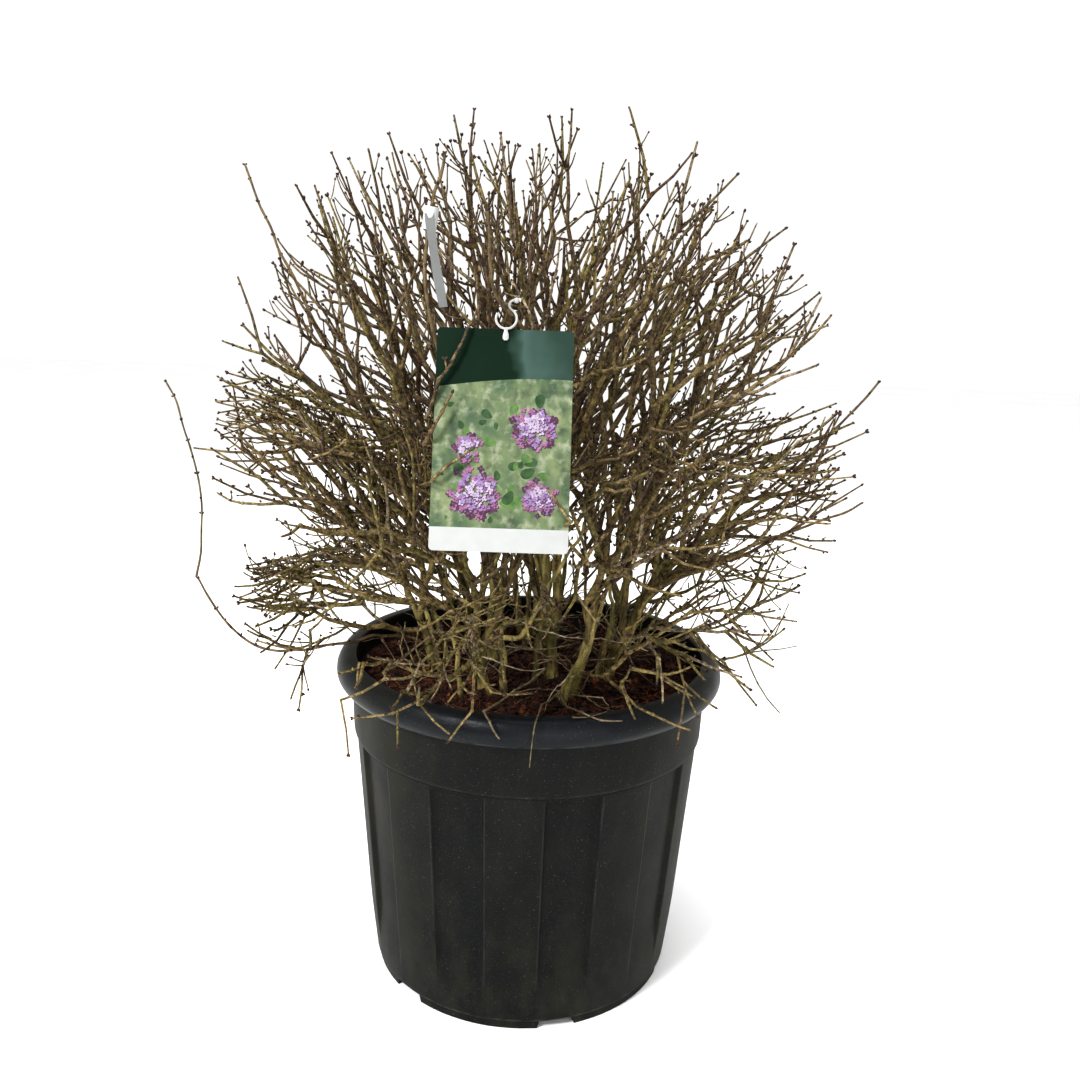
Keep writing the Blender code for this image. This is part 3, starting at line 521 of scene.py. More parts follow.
@dataclass
class Bud:
    """A place where a twig may grow: its root, its heading, the plane it forks in and its path so far."""

    root: Vector
    heading: Vector
    side: Vector
    radius: float
    path: str


@dataclass
class Rule:
    """How far a mass is grown: its twigs in all, their share of the usual length, their room, how far inside
    the mass's space they end, the most forks, their share of the crown's reach and their turn upwards."""

    twigs: int
    share: float
    least_room: float
    margin: float
    forks: int
    reach: float
    upwards: float


SOLID_RULE = Rule(MOST_TWIGS, 1.0, LEAST_ROOM, SPACE_MARGIN, MOST_FORKS, 1.0, UPWARD_PULL)


def fine_rule(ring, twigs, share):
    return Rule(twigs, share, FINE_ROOM, FINE_MARGIN, FINE_FORKS, FINE_REACH[ring], FINE_UPWARDS)


def on_circle(radius, turn):
    """The x and y of a point round the pot, by its turn in radians."""
    return radius * math.sin(turn), -radius * math.cos(turn)


def around(angle, radius, height):
    """The point at this angle round the pot."""
    return Vector((*on_circle(radius, math.radians(angle)), height))


def angle_of(point):
    """The angle of a point round the pot."""
    return math.degrees(math.atan2(point.x, -point.y))


def fan_direction(from_vertical, angle):
    """The direction that leans this far from the vertical towards this angle round the pot."""
    lean = math.radians(from_vertical)
    return around(angle, math.sin(lean), math.cos(lean))


def leaned(along, way, lean):
    """The direction that leans this far, in radians, from one direction towards another."""
    return along * math.cos(lean) + way * math.sin(lean)


def side_at(along, turn):
    """The direction across this one at this turn, in radians, about it."""
    return Matrix.Rotation(turn, 3, along) @ along.orthogonal().normalized()


def jolt(chance, size):
    """A small random move, of up to this size along each axis."""
    return Vector([chance.uniform(-size, size) for _ in range(3)])


def crown_swell(point):
    """The shallow lobes of the crown's outline at this point."""
    turn = math.atan2(point.x - CROWN_X, -point.y)
    wave = math.sin(3 * turn + 6 * point.z) + 0.7 * math.sin(5 * turn - 9 * point.z + 1.0)
    return 1.0 + CROWN_LOBES * wave / 1.7


def floor_under(point):
    """The lowest that the crown reaches at this distance from the middle: over soil, rim or ground."""
    outwards = math.hypot(point.x, point.y)
    if outwards > RIM_FLOOR_RADII[1]:
        return DROOP_FLOOR
    return RIM_FLOOR if outwards > RIM_FLOOR_RADII[0] else SOIL_FLOOR


def in_crown(point, reach=1.0):
    """Whether the point is within the crown's outline, made larger by this factor."""
    if point.z < floor_under(point):
        return False
    outwards = math.hypot(point.x - CROWN_X, point.y)
    rise = point.z - CROWN_WIDEST
    height = CROWN_TOP - CROWN_WIDEST if rise > 0 else CROWN_LOW_HEIGHT
    across = outwards / CROWN_RADIUS
    share = (across**CROWN_BLUNTNESS + (abs(rise) / height) ** CROWN_BLUNTNESS) ** (1 / CROWN_BLUNTNESS)
    return share < reach * crown_swell(point)


def reach_from(root, heading, reach=1.0):
    """How far the crown's outline lies from the root along the heading."""
    distance = REACH_STEP
    while in_crown(root + heading * distance, reach):
        distance += REACH_STEP
    return distance


def fan_point(ring, share, angle):
    """The point at this share of the crown's reach, in this ring and at this angle round the pot."""
    heading = fan_direction(RINGS[ring]["angle"], angle)
    return FAN_CENTRE + heading * share * reach_from(FAN_CENTRE, heading)


def curve_between(start, start_heading, end, end_heading, count, kink, chance):
    """Points of a limb that leaves the start and reaches the end along these headings, with slight kinks."""
    length = (end - start).length
    points = []
    for i in range(count + 1):
        t = i / count
        point = start * (2 * t**3 - 3 * t**2 + 1) + end * (3 * t**2 - 2 * t**3)
        point += start_heading * length * (t**3 - 2 * t**2 + t) * 0.9
        point += end_heading * length * (t**3 - t**2) * 0.9
        if 1 < i < count:
            point += jolt(chance, kink)
        points.append(point)
    return points


def tapered(start, end, count):
    return [start + (end - start) * i / count for i in range(count + 1)]


def past_tip(limb):
    """Where a limb's line is carried on, a hair past its tip, and its heading there."""
    along = (limb.points[-1] - limb.points[-2]).normalized()
    return limb.points[-1] + along * CLEAR, along


def side_of(limb, piece, towards):
    """Where a side shoot meets this piece of a limb: its root, its heading and the way straight out."""
    a, b = limb.points[piece], limb.points[piece + 1]
    along = (b - a).normalized()
    out = (towards - along * towards.dot(along)).normalized()
    middle = (a + b) / 2
    root = middle + out * (limb.radii[piece] + CLEAR)
    return root, leaned(along, out, math.radians(FORK_ANGLE)), out


def make_stem(name, base, tip, angle, leans, radii, kink, chance):
    """A stem that leaves the compost and reaches its tip with these leans, and is wider at its foot."""
    first, last = (fan_direction(lean, angle) for lean in leans)
    radii[0] *= 1 + ROOT_FLARE
    return Limb(name, curve_between(base, first, tip, last, len(radii) - 1, kink, chance), radii)


def make_limbs():
    """Every stem, bough and long shoot, by name."""
    found = []
    for i in range(INNER_STEMS):
        chance = random.Random(f"inner stem {i}")
        angle = INNER_FIRST_ANGLE + 360.0 / INNER_STEMS * i + chance.uniform(-10, 10)
        base = around(angle, INNER_BASE_RADIUS + chance.uniform(-0.006, 0.006), SOIL + CLEAR)
        tip = fan_point("top", RINGS["top"]["tip"], angle + 8)
        radii = tapered(INNER_THICKNESS, BOUGH_TIP, INNER_PIECES)
        name = f"stem_inner_{i + 1}"
        found.append(make_stem(name, base, tip, angle, INNER_LEANS, radii, INNER_KINK, chance))
    for i in range(OUTER_STEMS):
        chance = random.Random(f"outer stem {i}")
        angle = OUTER_FIRST_ANGLE + 360.0 / OUTER_STEMS * i + chance.uniform(-7, 7)
        base = around(angle, OUTER_BASE_RADIUS + chance.uniform(-0.014, 0.014), SOIL + CLEAR)
        height = OUTER_HEIGHT + chance.uniform(-0.012, 0.012)
        fork = base + around(angle + chance.uniform(-12, 12), OUTER_SPREAD, height)
        thickness = OUTER_THICKNESS * chance.uniform(0.82, 1.15)
        radii = tapered(thickness, thickness * 0.78, OUTER_PIECES)
        name = f"stem_outer_{i + 1}"
        found.append(make_stem(name, base, fork, angle, OUTER_LEANS, radii, OUTER_KINK, chance))
        found += grow_boughs(found[-1], i, angle, chance)
    limbs = {limb.name: limb for limb in found}
    seats = {
        "left_low": (LIP_SEAT, LIP_HEADING),
        "label": hook_seat(SEAT_RADIUS),
        "tag": (TAG_SEAT, TAG_HEADING),
    }
    for name, shoot in SHOOTS.items():
        limbs["shoot_" + name] = long_shoot("shoot_" + name, limbs[shoot["from"]], shoot, seats.get(name))
    low = limbs["shoot_left_low"]
    chance = random.Random("left high")
    first, last = LEFT_HIGH_HEADINGS
    start, _ = past_tip(low)
    points = curve_between(start, first, LEFT_HIGH_TIP, last, LEFT_HIGH_PIECES, LEFT_HIGH_KINK, chance)
    radii = tapered(low.radii[-1], LEFT_HIGH_THINNEST, LEFT_HIGH_PIECES)
    limbs["shoot_left_high"] = Limb("shoot_left_high", points, radii)
    return limbs


def grow_boughs(stem, i, angle, chance):
    """The two boughs of an outer stem: one carries its line on outwards, the other rises from its side."""
    start, along = past_tip(stem)
    outer_angle = angle + chance.uniform(-5, 5)
    tip = fan_point("outer", RINGS["outer"]["tip"], outer_angle)
    end_heading = fan_direction(RINGS["outer"]["angle"] - 6, outer_angle)
    pieces = BOUGH_PIECES["outer"]
    points = curve_between(start, along, tip, end_heading, pieces, BOUGH_KINKS["outer"], chance)
    radii = tapered(min(BOUGH_THICKNESS, stem.radii[-1] * 0.9), BOUGH_TIP, pieces)
    outer = Limb(f"bough_outer_{i + 1}", points, radii)
    upper_angle = OUTER_FIRST_ANGLE + 360.0 / OUTER_STEMS * (i + 0.5) + chance.uniform(-5, 5)
    tip = fan_point("upper", RINGS["upper"]["tip"], upper_angle)
    start, heading, _ = side_of(stem, 3, tip - stem.points[3])
    end_heading = fan_direction(RINGS["upper"]["angle"] - 8, upper_angle)
    pieces = BOUGH_PIECES["upper"]
    points = curve_between(start, heading, tip, end_heading, pieces, BOUGH_KINKS["upper"], chance)
    return outer, Limb(f"bough_upper_{i + 1}", points, tapered(BOUGH_THICKNESS, BOUGH_TIP, pieces))


def long_shoot(name, carrier, shoot, seat=None):
    """A thin shoot from its carrier's side to its tip, straight for a stretch where it has a seat."""
    chance = random.Random(name)
    tip = Vector(shoot["tip"])
    aim, through = seat if seat else (tip, None)
    start, heading, _ = side_of(carrier, shoot["piece"], aim - carrier.points[shoot["piece"]])
    points, radii = [start], [SHOOT_THICKNESS]
    if seat:
        before, after = (aim + through * half for half in (-SEAT_HALF_LENGTH, SEAT_HALF_LENGTH))
        points = curve_between(start, heading, before, through, 9, SHOOT_KINK, chance)
        radii = tapered(SHOOT_THICKNESS, SEAT_RADIUS, 9)
        start, heading = after, through
        points.append(after)
        radii.append(SEAT_RADIUS)
    end_heading = ((tip - start).normalized() + Vector((0.0, 0.0, shoot["rise"]))).normalized()
    count = max(4, round((tip - start).length / SHOOT_PIECE))
    points += curve_between(start, heading, tip, end_heading, count, SHOOT_KINK, chance)[1:]
    radii += tapered(radii[-1], SHOOT_TIP, count)[1:]
    return Limb(name, points, radii)


def plan_masses(limbs):
    """Where each mass of twigs starts, and the middle of its space."""
    masses = []

    def at_tip(limb, ring, i):
        start, heading = past_tip(limb)
        centre = fan_point(ring, RINGS[ring]["centre"], angle_of(limb.points[-1]))
        name = f"twigs_{ring}_{i + 1}"
        masses.append(Mass(name, start, heading, limb.radii[-1] * 0.95, centre, limb.name, ring))

    for i in range(INNER_STEMS):
        at_tip(limbs[f"stem_inner_{i + 1}"], "top", i)
    for i in range(OUTER_STEMS):
        at_tip(limbs[f"bough_upper_{i + 1}"], "upper", i)
        at_tip(limbs[f"bough_outer_{i + 1}"], "outer", i)
        stem = limbs[f"stem_outer_{i + 1}"]
        angle = angle_of(stem.points[0]) + LOW_OFFSET
        root, _, out = side_of(stem, 2, fan_direction(90, angle))
        heading = (out + fan_direction(LOW_HEADING, angle)).normalized()
        centre = fan_point("low", RINGS["low"]["centre"], angle)
        masses.append(Mass(f"twigs_low_{i + 1}", root, heading, LOW_THICKNESS, centre, stem.name, "low"))
    return masses


def limb_pieces(limbs):
    """Every straight piece of every limb, as arrays of its ends and its radius, and its limb's name."""
    starts, ends, radii, names = [], [], [], []
    for limb in limbs.values():
        for i in range(len(limb.points) - 1):
            starts.append(limb.points[i])
            ends.append(limb.points[i + 1])
            radii.append(max(limb.radii[i], limb.radii[i + 1]))
            names.append(limb.name)
    return np.array(starts), np.array(ends), np.array(radii), np.array(names)


def gap_to_pieces(spots, pieces, keep):
    """The least distance from any of the spots to the surface of any kept piece."""
    starts, ends, radii = (values[keep] for values in pieces[:3])
    along = ends - starts
    from_start = spots[:, None, :] - starts[None, :, :]
    share = np.clip((from_start * along).sum(axis=2) / (along * along).sum(axis=1), 0.0, 1.0)
    nearest = starts + share[:, :, None] * along
    return (np.linalg.norm(spots[:, None, :] - nearest, axis=2) - radii).min()


class Surroundings:
    """What the twigs of a mass stay clear of: the other masses' spaces, the limbs, the card and the tag."""

    def __init__(self, masses, limbs, box):
        self.centres = np.array([mass.centre for mass in masses])
        self.pieces = limb_pieces(limbs)
        self.everything = np.ones(len(self.pieces[3]), bool)
        self.to_card = card_frame().inverted()
        self.room = (CARD_WIDTH / 2 + CARD_ROOM, CARD_ROOM, CARD_HEIGHT / 2 + CARD_ROOM)
        self.low = np.array(box[0]) + BOX_MARGIN
        self.high = np.array(box[1]) - BOX_MARGIN

    def meets(self, spot):
        """Whether the spot is at the card, the hook's ring or the tag."""
        local = self.to_card @ Vector(spot)
        across, deep, high = RING_ROOM
        ring = abs(local.x) < across and abs(local.y) < deep and 0 < local.z - CARD_HEIGHT / 2 < high
        card = all(abs(value) < room for value, room in zip(local, self.room))
        off = Vector(spot) - TAG_SEAT
        across, deep, below = TAG_ROOM
        beside = abs(off.x) < across and abs(off.y) < deep
        return ring or card or (beside and -TAG_TAIL_LENGTH - below < off.z < TAG_ROLL_HEIGHT)

    def leaves(self, spots):
        """Whether any spot is out of the solids' box or hangs before the front or the back of the pot."""
        spots = np.array(spots)
        across, deep = np.abs(spots[:, 0]), np.abs(spots[:, 1])
        hangs = (spots[:, 2] < FRONT_FLOOR) & (across < FRONT_HALF_WIDTH) & (deep > FRONT_EDGE)
        return (spots < self.low).any() or (spots > self.high).any() or hangs.any()

    def open_to(self, spots, reach):
        """Whether the spots are all in the crown and off the card, the hook's ring and the tag."""
        return all(in_crown(spot, reach) for spot in spots) and not any(self.meets(spot) for spot in spots)

    def clear(self, points, radius):
        """Whether a short shoot's points stay where it may grow, and off the limbs."""
        if self.leaves(points) or not self.open_to(points, SIDE_REACH):
            return False
        return gap_to_pieces(np.array(points), self.pieces, self.everything) > radius + SIDE_ROOM

    def allow(self, mass, index, root, end, radius, first, reach, rule):
        """Whether a twig of this mass may grow from its root to this end."""
        count = max(2, round((end - root).length / TEST_STEP))
        spots = [root.lerp(end, (i + 1) / count) for i in range(count)]
        if not self.open_to(spots, reach):
            return False
        if rule is not SOLID_RULE and self.leaves(spots):
            return False
        to_centres = np.linalg.norm(self.centres - np.array(end), axis=1)
        to_own = to_centres[index]
        to_centres[index] = np.inf
        between = np.linalg.norm(self.centres - self.centres[index], axis=1)
        between[index] = 1.0
        if ((to_centres**2 - to_own**2) / (2 * between)).min() < rule.margin:
            return False
        keep = self.pieces[3] != mass.carrier if first else self.everything
        return gap_to_pieces(np.array(spots), self.pieces, keep) > radius + TWIG_MARGIN


def tried_heading(bud, centre, chance, attempt, upwards):
    """A heading near the bud's own, drawn outwards from the fan centre, upwards and into the mass's space."""
    lean = math.radians(chance.uniform(0.3, 1.0) * WIDEST_TRY) if attempt else 0.0
    turn = chance.uniform(0.0, math.tau)
    across = leaned(bud.side, bud.heading.cross(bud.side), turn)
    heading = leaned(bud.heading, across, lean)
    outwards = (bud.root - FAN_CENTRE).normalized() * OUTWARD_PULL
    inwards = (centre - bud.root).normalized() * (SPACE_PULL if attempt > TRIES / 2 else 0.0)
    return (heading + outwards + Vector((0.0, 0.0, upwards)) + inwards).normalized(), lean


def grow_twig(mass, index, bud, spots, surroundings, rule):
    """The twig from this bud: of several headings the one with most room, or None where none has any."""
    chance = random.Random(f"{mass.name} {bud.path}")
    stretch = chance.uniform(0.8, 1.25)
    last_share = chance.uniform(0.84, 1.0)
    reach = (LONG_REACH if chance.random() < LONG_CHANCE else 1.0) * rule.reach
    usual = RINGS[mass.ring]["shoot"] * stretch * rule.share
    first = bud.path == "m"
    best, most_room = None, 0.0
    for attempt in range(TRIES):
        heading, lean = tried_heading(bud, mass.centre, chance, attempt, rule.upwards)
        reached = reach_from(bud.root, heading, reach)
        last = reached < 1.75 * usual
        length = reached * last_share if last else usual
        end = bud.root + heading * length
        room = min(((end - spot).length for spot in spots), default=1.0) * (1.0 - 0.5 * lean)
        if length < SHORTEST_SHOOT or room < max(most_room, rule.least_room):
            continue
        if surroundings.allow(mass, index, bud.root, end, bud.radius, first, reach, rule):
            best, most_room = (end, last), room
        if first and best:
            break
    return best


def fork_buds(mass, bud, end, radius):
    """The buds at a twig's end: one that leads it on, its opposite, and now and then one between them."""
    chance = random.Random(f"{mass.name} {bud.path} fork")
    along = (end - bud.root).normalized()
    side = (bud.side - along * bud.side.dot(along)).normalized()
    side = Matrix.Rotation(math.radians(chance.uniform(-28, 28)), 3, along) @ side
    next_side = along.cross(side)
    lead_lean = math.radians(chance.uniform(*TWIG_FORK))
    other_lean = -math.radians(chance.uniform(*TWIG_FORK))
    buds = []
    for name, lean, across, thinning, back in (
        ("a", lead_lean * 0.7, side, 1.0, 0.0),
        ("b", other_lean, side, SIDE_THINNING, FORK_STEP),
        ("c", math.radians(chance.uniform(14, 24)), next_side, SIDE_THINNING * 0.9, 2 * FORK_STEP),
    ):
        root, heading = end - along * back, leaned(along, across, lean)
        thickness = max(THINNEST_TWIG, radius * thinning)
        buds.append(Bud(root, heading, along.cross(across), thickness, bud.path + name))
    return buds if chance.random() < RINGS[mass.ring]["third"] else buds[:2]


# Finer growth
@dataclass
class Axis:
    """A twig from root to tip, with its mass's number and its order: 0 in the solids, then ever finer."""

    points: list
    radii: list
    mass: int
    order: int


def grow_axes(mass, index, waiting, spots, surroundings, rule, order):
    """The axes that grow from the waiting buds by this rule: every axis leads on from fork to fork."""
    axes = []
    while waiting and len(spots) < 2 * rule.twigs:
        bud = waiting.pop(0)
        points, radii = [bud.root], [bud.radius]
        last = False
        while not last and len(bud.path) <= rule.forks:
            grown = grow_twig(mass, index, bud, spots, surroundings, rule)
            if grown is None:
                break
            end, last = grown
            spots += [end, (bud.root + end) / 2]
            points.append(end)
            radii.append(max(THINNEST_TWIG, radii[-1] * THINNING_ALONG))
            if not last:
                bud, *others = fork_buds(mass, bud, end, radii[-1])
                waiting += others
        if len(points) > 1:
            axes.append(Axis(points, radii, index, order))
    return axes


def nearest_space(point, surroundings):
    return int(np.argmin(np.linalg.norm(surroundings.centres - np.array(point), axis=1)))


def first_bud(mass):
    return Bud(mass.start, mass.heading, mass.heading.orthogonal(), mass.radius, "m")


def grow_crown(limbs, masses, surroundings):
    """Every twig of the crown: those of the solids, then thin boughs from the limbs, then finer twigs."""
    axes = []
    waiting = [[first_bud(mass)] for mass in masses]
    spots = [[] for _ in masses]
    for index, mass in enumerate(masses):
        axes += grow_axes(mass, index, waiting[index], spots[index], surroundings, SOLID_RULE, 0)
    for thin in thin_boughs(limbs) + low_boughs(limbs):
        index = nearest_space(thin.start + thin.heading * THIN_BOUGH_AHEAD, surroundings)
        thin.centre, thin.ring = masses[index].centre, masses[index].ring
        rule = fine_rule(thin.ring, len(spots[index]) // 2 + THIN_BOUGH_TWIGS, 1.0)
        axes += grow_axes(thin, index, [first_bud(thin)], spots[index], surroundings, rule, 1)
    for index, mass in enumerate(masses):
        rule = fine_rule(mass.ring, FINE_TWIGS[mass.ring], FINE_SHARE)
        axes += grow_axes(mass, index, waiting[index], spots[index], surroundings, rule, 1)
    return axes


def thin_boughs(limbs):
    """Thin boughs at the sides of the stems and boughs, none of them low down in front."""
    found = []
    for limb in limbs.values():
        if limb.name.startswith("shoot"):
            continue
        chance = random.Random(limb.name + " sides")
        for piece in range(1, len(limb.points) - 1):
            outwards = around(chance.uniform(0.0, 360.0), 1.0, 0.0)
            if limb.points[piece].z < THIN_BOUGH_FLOOR and outwards.y < 0.0:
                continue
            away = (limb.points[piece] - FAN_CENTRE).normalized()
            root, heading, out = side_of(limb, piece, outwards + away * 0.8)
            root -= out * (limb.radii[piece] * 0.5 + CLEAR)
            name = f"{limb.name} side {piece}"
            found.append(Mass(name, root, heading, limb.radii[piece] * 0.7, root, limb.name, "upper"))
    return found


def low_boughs(limbs):
    """Nearly level boughs that leave the lower limbs on the crown's left and reach out beside the pot."""
    found = []
    for number in range(LOW_BOUGHS):
        name = f"low bough {number}"
        chance = random.Random(name)
        limb = limbs[LOW_BOUGH_LIMBS[number % len(LOW_BOUGH_LIMBS)]]
        piece = chance.randrange(1, len(limb.points) - 1)
        heading = fan_direction(chance.uniform(*LOW_BOUGH_LEAN), chance.uniform(*LOW_BOUGH_ANGLES))
        a, b = limb.points[piece], limb.points[piece + 1]
        along = (b - a).normalized()
        out = (heading - along * heading.dot(along)).normalized()
        root = (a + b) / 2 + out * limb.radii[piece] * 0.5
        found.append(Mass(name, root, heading, LOW_BOUGH_RADIUS, root, limb.name, "low"))
    return found


def thickened(axis, chance):
    """The radius at each of an axis's points, from how far back from its tip the point is."""
    steps = [(b - a).length for a, b in zip(axis.points, axis.points[1:])]
    added = chance.uniform(*THICKENING[axis.order])
    if axis.points[-1].z < CROWN_LOW_HEIGHT:
        added *= LOW_THINNER
    tip = TIP_RADIUS[axis.order]
    return [min(THICKEST_TWIG, tip + added * sum(steps[i:])) for i in range(len(axis.points))]


def side_axis(root, heading, length, radius, chance):
    """A short shoot of two or three straight stretches that bends outwards and upwards as it goes."""
    pieces = min(3, 1 + int(length / SIDE_PIECE))
    points, radii = [root], [radius]
    for i in range(pieces):
        pull = (points[-1] - FAN_CENTRE).normalized() * 0.20 + Vector((0.0, 0.0, 0.30))
        heading = (heading + pull * 0.45 + jolt(chance, 0.14)).normalized()
        points.append(points[-1] + heading * length / pieces)
        radii.append(max(FINEST_TIP, radius * (1.0 - 0.45 * (i + 1) / pieces)))
    return points, radii


def nodes_along(points, radii, chance):
    """The nodes along an axis: the place, the axis's direction, the way its pair points, and the radius."""
    gap = chance.uniform(*NODE_GAP)
    turn = chance.uniform(0.0, math.tau)
    for a, b, first, last in zip(points, points[1:], radii, radii[1:]):
        length = (b - a).length
        along = (b - a).normalized()
        while gap < length - NODE_MARGIN:
            share = gap / length
            turn += math.pi / 2 + chance.uniform(-0.25, 0.25)
            yield a.lerp(b, share), along, side_at(along, turn), first + (last - first) * share
            gap += chance.uniform(*NODE_GAP)
        gap = max(NODE_MARGIN, gap - length)


def side_growth(axes, surroundings):
    """The short side shoots of all axes, and the buds at the nodes that keep theirs shut."""
    shoots, buds = [], []
    for number, axis in enumerate(axes):
        chance = random.Random(f"sides {number}")
        for place, along, side, radius in nodes_along(axis.points, axis.radii, chance):
            for way in (side, -side):
                luck = chance.random()
                if luck < SIDE_CHANCE + STUB_CHANCE:
                    lengths = SIDE_LENGTH if luck < SIDE_CHANCE else STUB_LENGTH
                    heading = leaned(along, way, math.radians(chance.uniform(*SIDE_ANGLE)))
                    length = lengths[0] + (lengths[1] - lengths[0]) * chance.random() ** 1.4
                    grown = side_axis(place, heading, length, min(radius * 0.85, SIDE_RADIUS), chance)
                    if surroundings.clear(grown[0][1:], SIDE_RADIUS):
                        shoots.append(Axis(*grown, axis.mass, 2))
                elif luck < SIDE_CHANCE + STUB_CHANCE + SIDE_BUD_CHANCE:
                    buds.append(node_bud(place, along, way, radius, axis.mass, chance))
    return shoots, buds


# Buds
@dataclass
class BudPlace:
    """A bud to be drawn: its root, its heading, its length, and its twig's mass."""

    root: Vector
    heading: Vector
    length: float
    mass: int


def node_bud(place, along, way, radius, mass, chance):
    heading = leaned(along, way, math.radians(chance.uniform(*BUD_LEAN)))
    return BudPlace(place + way * radius * 0.7, heading, chance.uniform(*BUD_LENGTH) * 0.86, mass)


def tip_buds(axes):
    """A diverging pair of buds at most tips, a single one at others, in place of the twig's last length."""
    buds = []
    for number, axis in enumerate(axes):
        chance = random.Random(f"tip {number}")
        luck = chance.random()
        if luck < TIP_BARE_CHANCE:
            continue
        before, tip = axis.points[-2:]
        along = (tip - before).normalized()
        length = chance.uniform(*BUD_LENGTH)
        axis.points[-1] = tip - along * min(length, 0.5 * (tip - before).length)
        side = side_at(along, chance.uniform(0.0, math.tau))
        ways = (side, -side) if luck < TIP_BARE_CHANCE + TIP_PAIR_CHANCE else (side * 0.2,)
        for way in ways:
            heading = leaned(along, way, math.radians(chance.uniform(*TIP_BUD_LEAN))).normalized()
            buds.append(BudPlace(axis.points[-1] - along * TIP_BUD_SUNK, heading, length, axis.mass))
    return buds


def draw_bud(shape, bud, number):
    """A plump, blunt bud, dark or, one in a few, brown."""
    width = bud.length * BUD_WIDTH
    path = [bud.root + bud.heading * bud.length * share for share in (0.0, 0.40, 0.80)]
    finish = 1 if number % BROWN_BUD_EVERY == 0 else 0
    shape.add(*tube(path, [width * 0.62, width, width * 0.72], BUD_SIDES, 0.9), finish)


# Twigs
def twig_path(points, radii, chance):
    """A twig's path, slightly bowed between its nodes and swollen at each of them."""
    path, thickness = [points[0]], [radii[0]]
    for a, b, first, last in zip(points, points[1:], radii, radii[1:]):
        length = (b - a).length
        level = math.hypot(b.x - a.x, b.y - a.y) / length
        bow = (jolt(chance, BOW) - Vector((0.0, 0.0, SAG * level))) * length
        near = min(0.3, NODE_HALF / length)
        for share in (near, 0.5, 1.0 - near, 1.0):
            swell = NODE_SWELL if share == 1.0 else 0.96
            path.append(a.lerp(b, share) + bow * 4 * share * (1 - share))
            thickness.append((first + (last - first) * share) * swell)
    thickness[-1] = radii[-1]
    return path, thickness


def twig_finish(height, radius, chance):
    """Which of the twigs' shades this one takes: olive and khaki low down and in old wood, brown above."""
    up = min(1.0, max(0.0, (height - BROWN_FROM) / BROWN_RISE))
    old = min(1.0, radius / OLD_WOOD)
    weights = [
        (1.0 - up) * 2.2 + 0.7 * old,
        (1.0 - up) * 1.6 + 0.9 * old,
        0.4 + 2.6 * up,
        0.15 + 0.9 * up,
        0.5,
    ]
    return chance.choices(range(5), weights)[0]


def draw_twigs(shapes, axes, masses):
    for number, axis in enumerate(axes):
        chance = random.Random(f"twig {number}")
        shape = shapes[masses[axis.mass].ring]
        thickest = max(axis.radii)
        finish = twig_finish(axis.points[-1].z, thickest, chance)
        if axis.order > 1:
            shape.add(*tube(axis.points, axis.radii, 4, 1.0), finish)
            continue
        path, radii = twig_path(axis.points, axis.radii, chance)
        shape.add(*tube(path, radii, 6 if thickest > STOUT_TWIG else 5, 1.0), finish)


def make_crown(limbs, masses, surroundings):
    """The masses of twigs and their buds, each kind and each ring of the crown a piece of its own."""
    axes = grow_crown(limbs, masses, surroundings)
    for number, axis in enumerate(axes):
        axis.radii = thickened(axis, random.Random(f"thickness {number}"))
    axes += placed_twigs(axes)
    shoots, buds = side_growth(axes, surroundings)
    axes += shoots
    buds += tip_buds(axes)
    twigs = {ring: Shape(f"crown_twigs_{ring}", twig_finishes()) for ring in RINGS}
    draw_twigs(twigs, axes, masses)
    drawn = {ring: Shape(f"crown_buds_{ring}", bud_finishes()) for ring in RINGS}
    for number, bud in enumerate(buds):
        draw_bud(drawn[masses[bud.mass].ring], bud, number)
    for ring in RINGS:
        nodes = [mass.name for mass in masses if mass.ring == ring]
        piece = twigs[ring].make()
        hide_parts(*nodes)
        settle(piece, "twigs")
        settle(drawn[ring].make(), "twigs")


def placed_twigs(axes):
    """The twigs that cross the label's face, each grown from the nearest wood of the crown."""
    wood = [(point, axis) for axis in axes if axis.radii[0] > LABEL_TWIG_TIP for point in axis.points]
    found = []
    for route in LABEL_TWIGS:
        start = Vector(route[0])
        root, carrier = min(wood, key=lambda pair: (pair[0] - start).length)
        points = [root] + [Vector(point) for point in route]
        radii = tapered(LABEL_TWIG_ROOT, LABEL_TWIG_TIP, len(points) - 1)
        found.append(Axis(points, radii, carrier.mass, 1))
    return found


# Stems and boughs
def smooth_path(points, radii, spacing):
    """Close points on a smooth curve through these, with the radius at each and its length so far."""
    points = np.array(points, float)
    ends = np.vstack([2 * points[0] - points[1], points, 2 * points[-1] - points[-2]])
    path, shares = [], []
    for i in range(len(points) - 1):
        a, b, c, d = ends[i : i + 4]
        count = max(1, round(np.linalg.norm(c - b) / spacing))
        for t in np.arange(count) / count:
            path.append(0.5 * (2 * b + (c - a) * t + (2 * a - 5 * b + 4 * c - d) * t**2
                               + (3 * b - 3 * c + d - a) * t**3))
            shares.append(i + t)
    path.append(points[-1])
    shares.append(len(points) - 1)
    path = np.array(path)
    lengths = np.concatenate([[0.0], np.cumsum(np.linalg.norm(np.diff(path, axis=0), axis=1))])
    return path, np.interp(shares, range(len(points)), radii), lengths


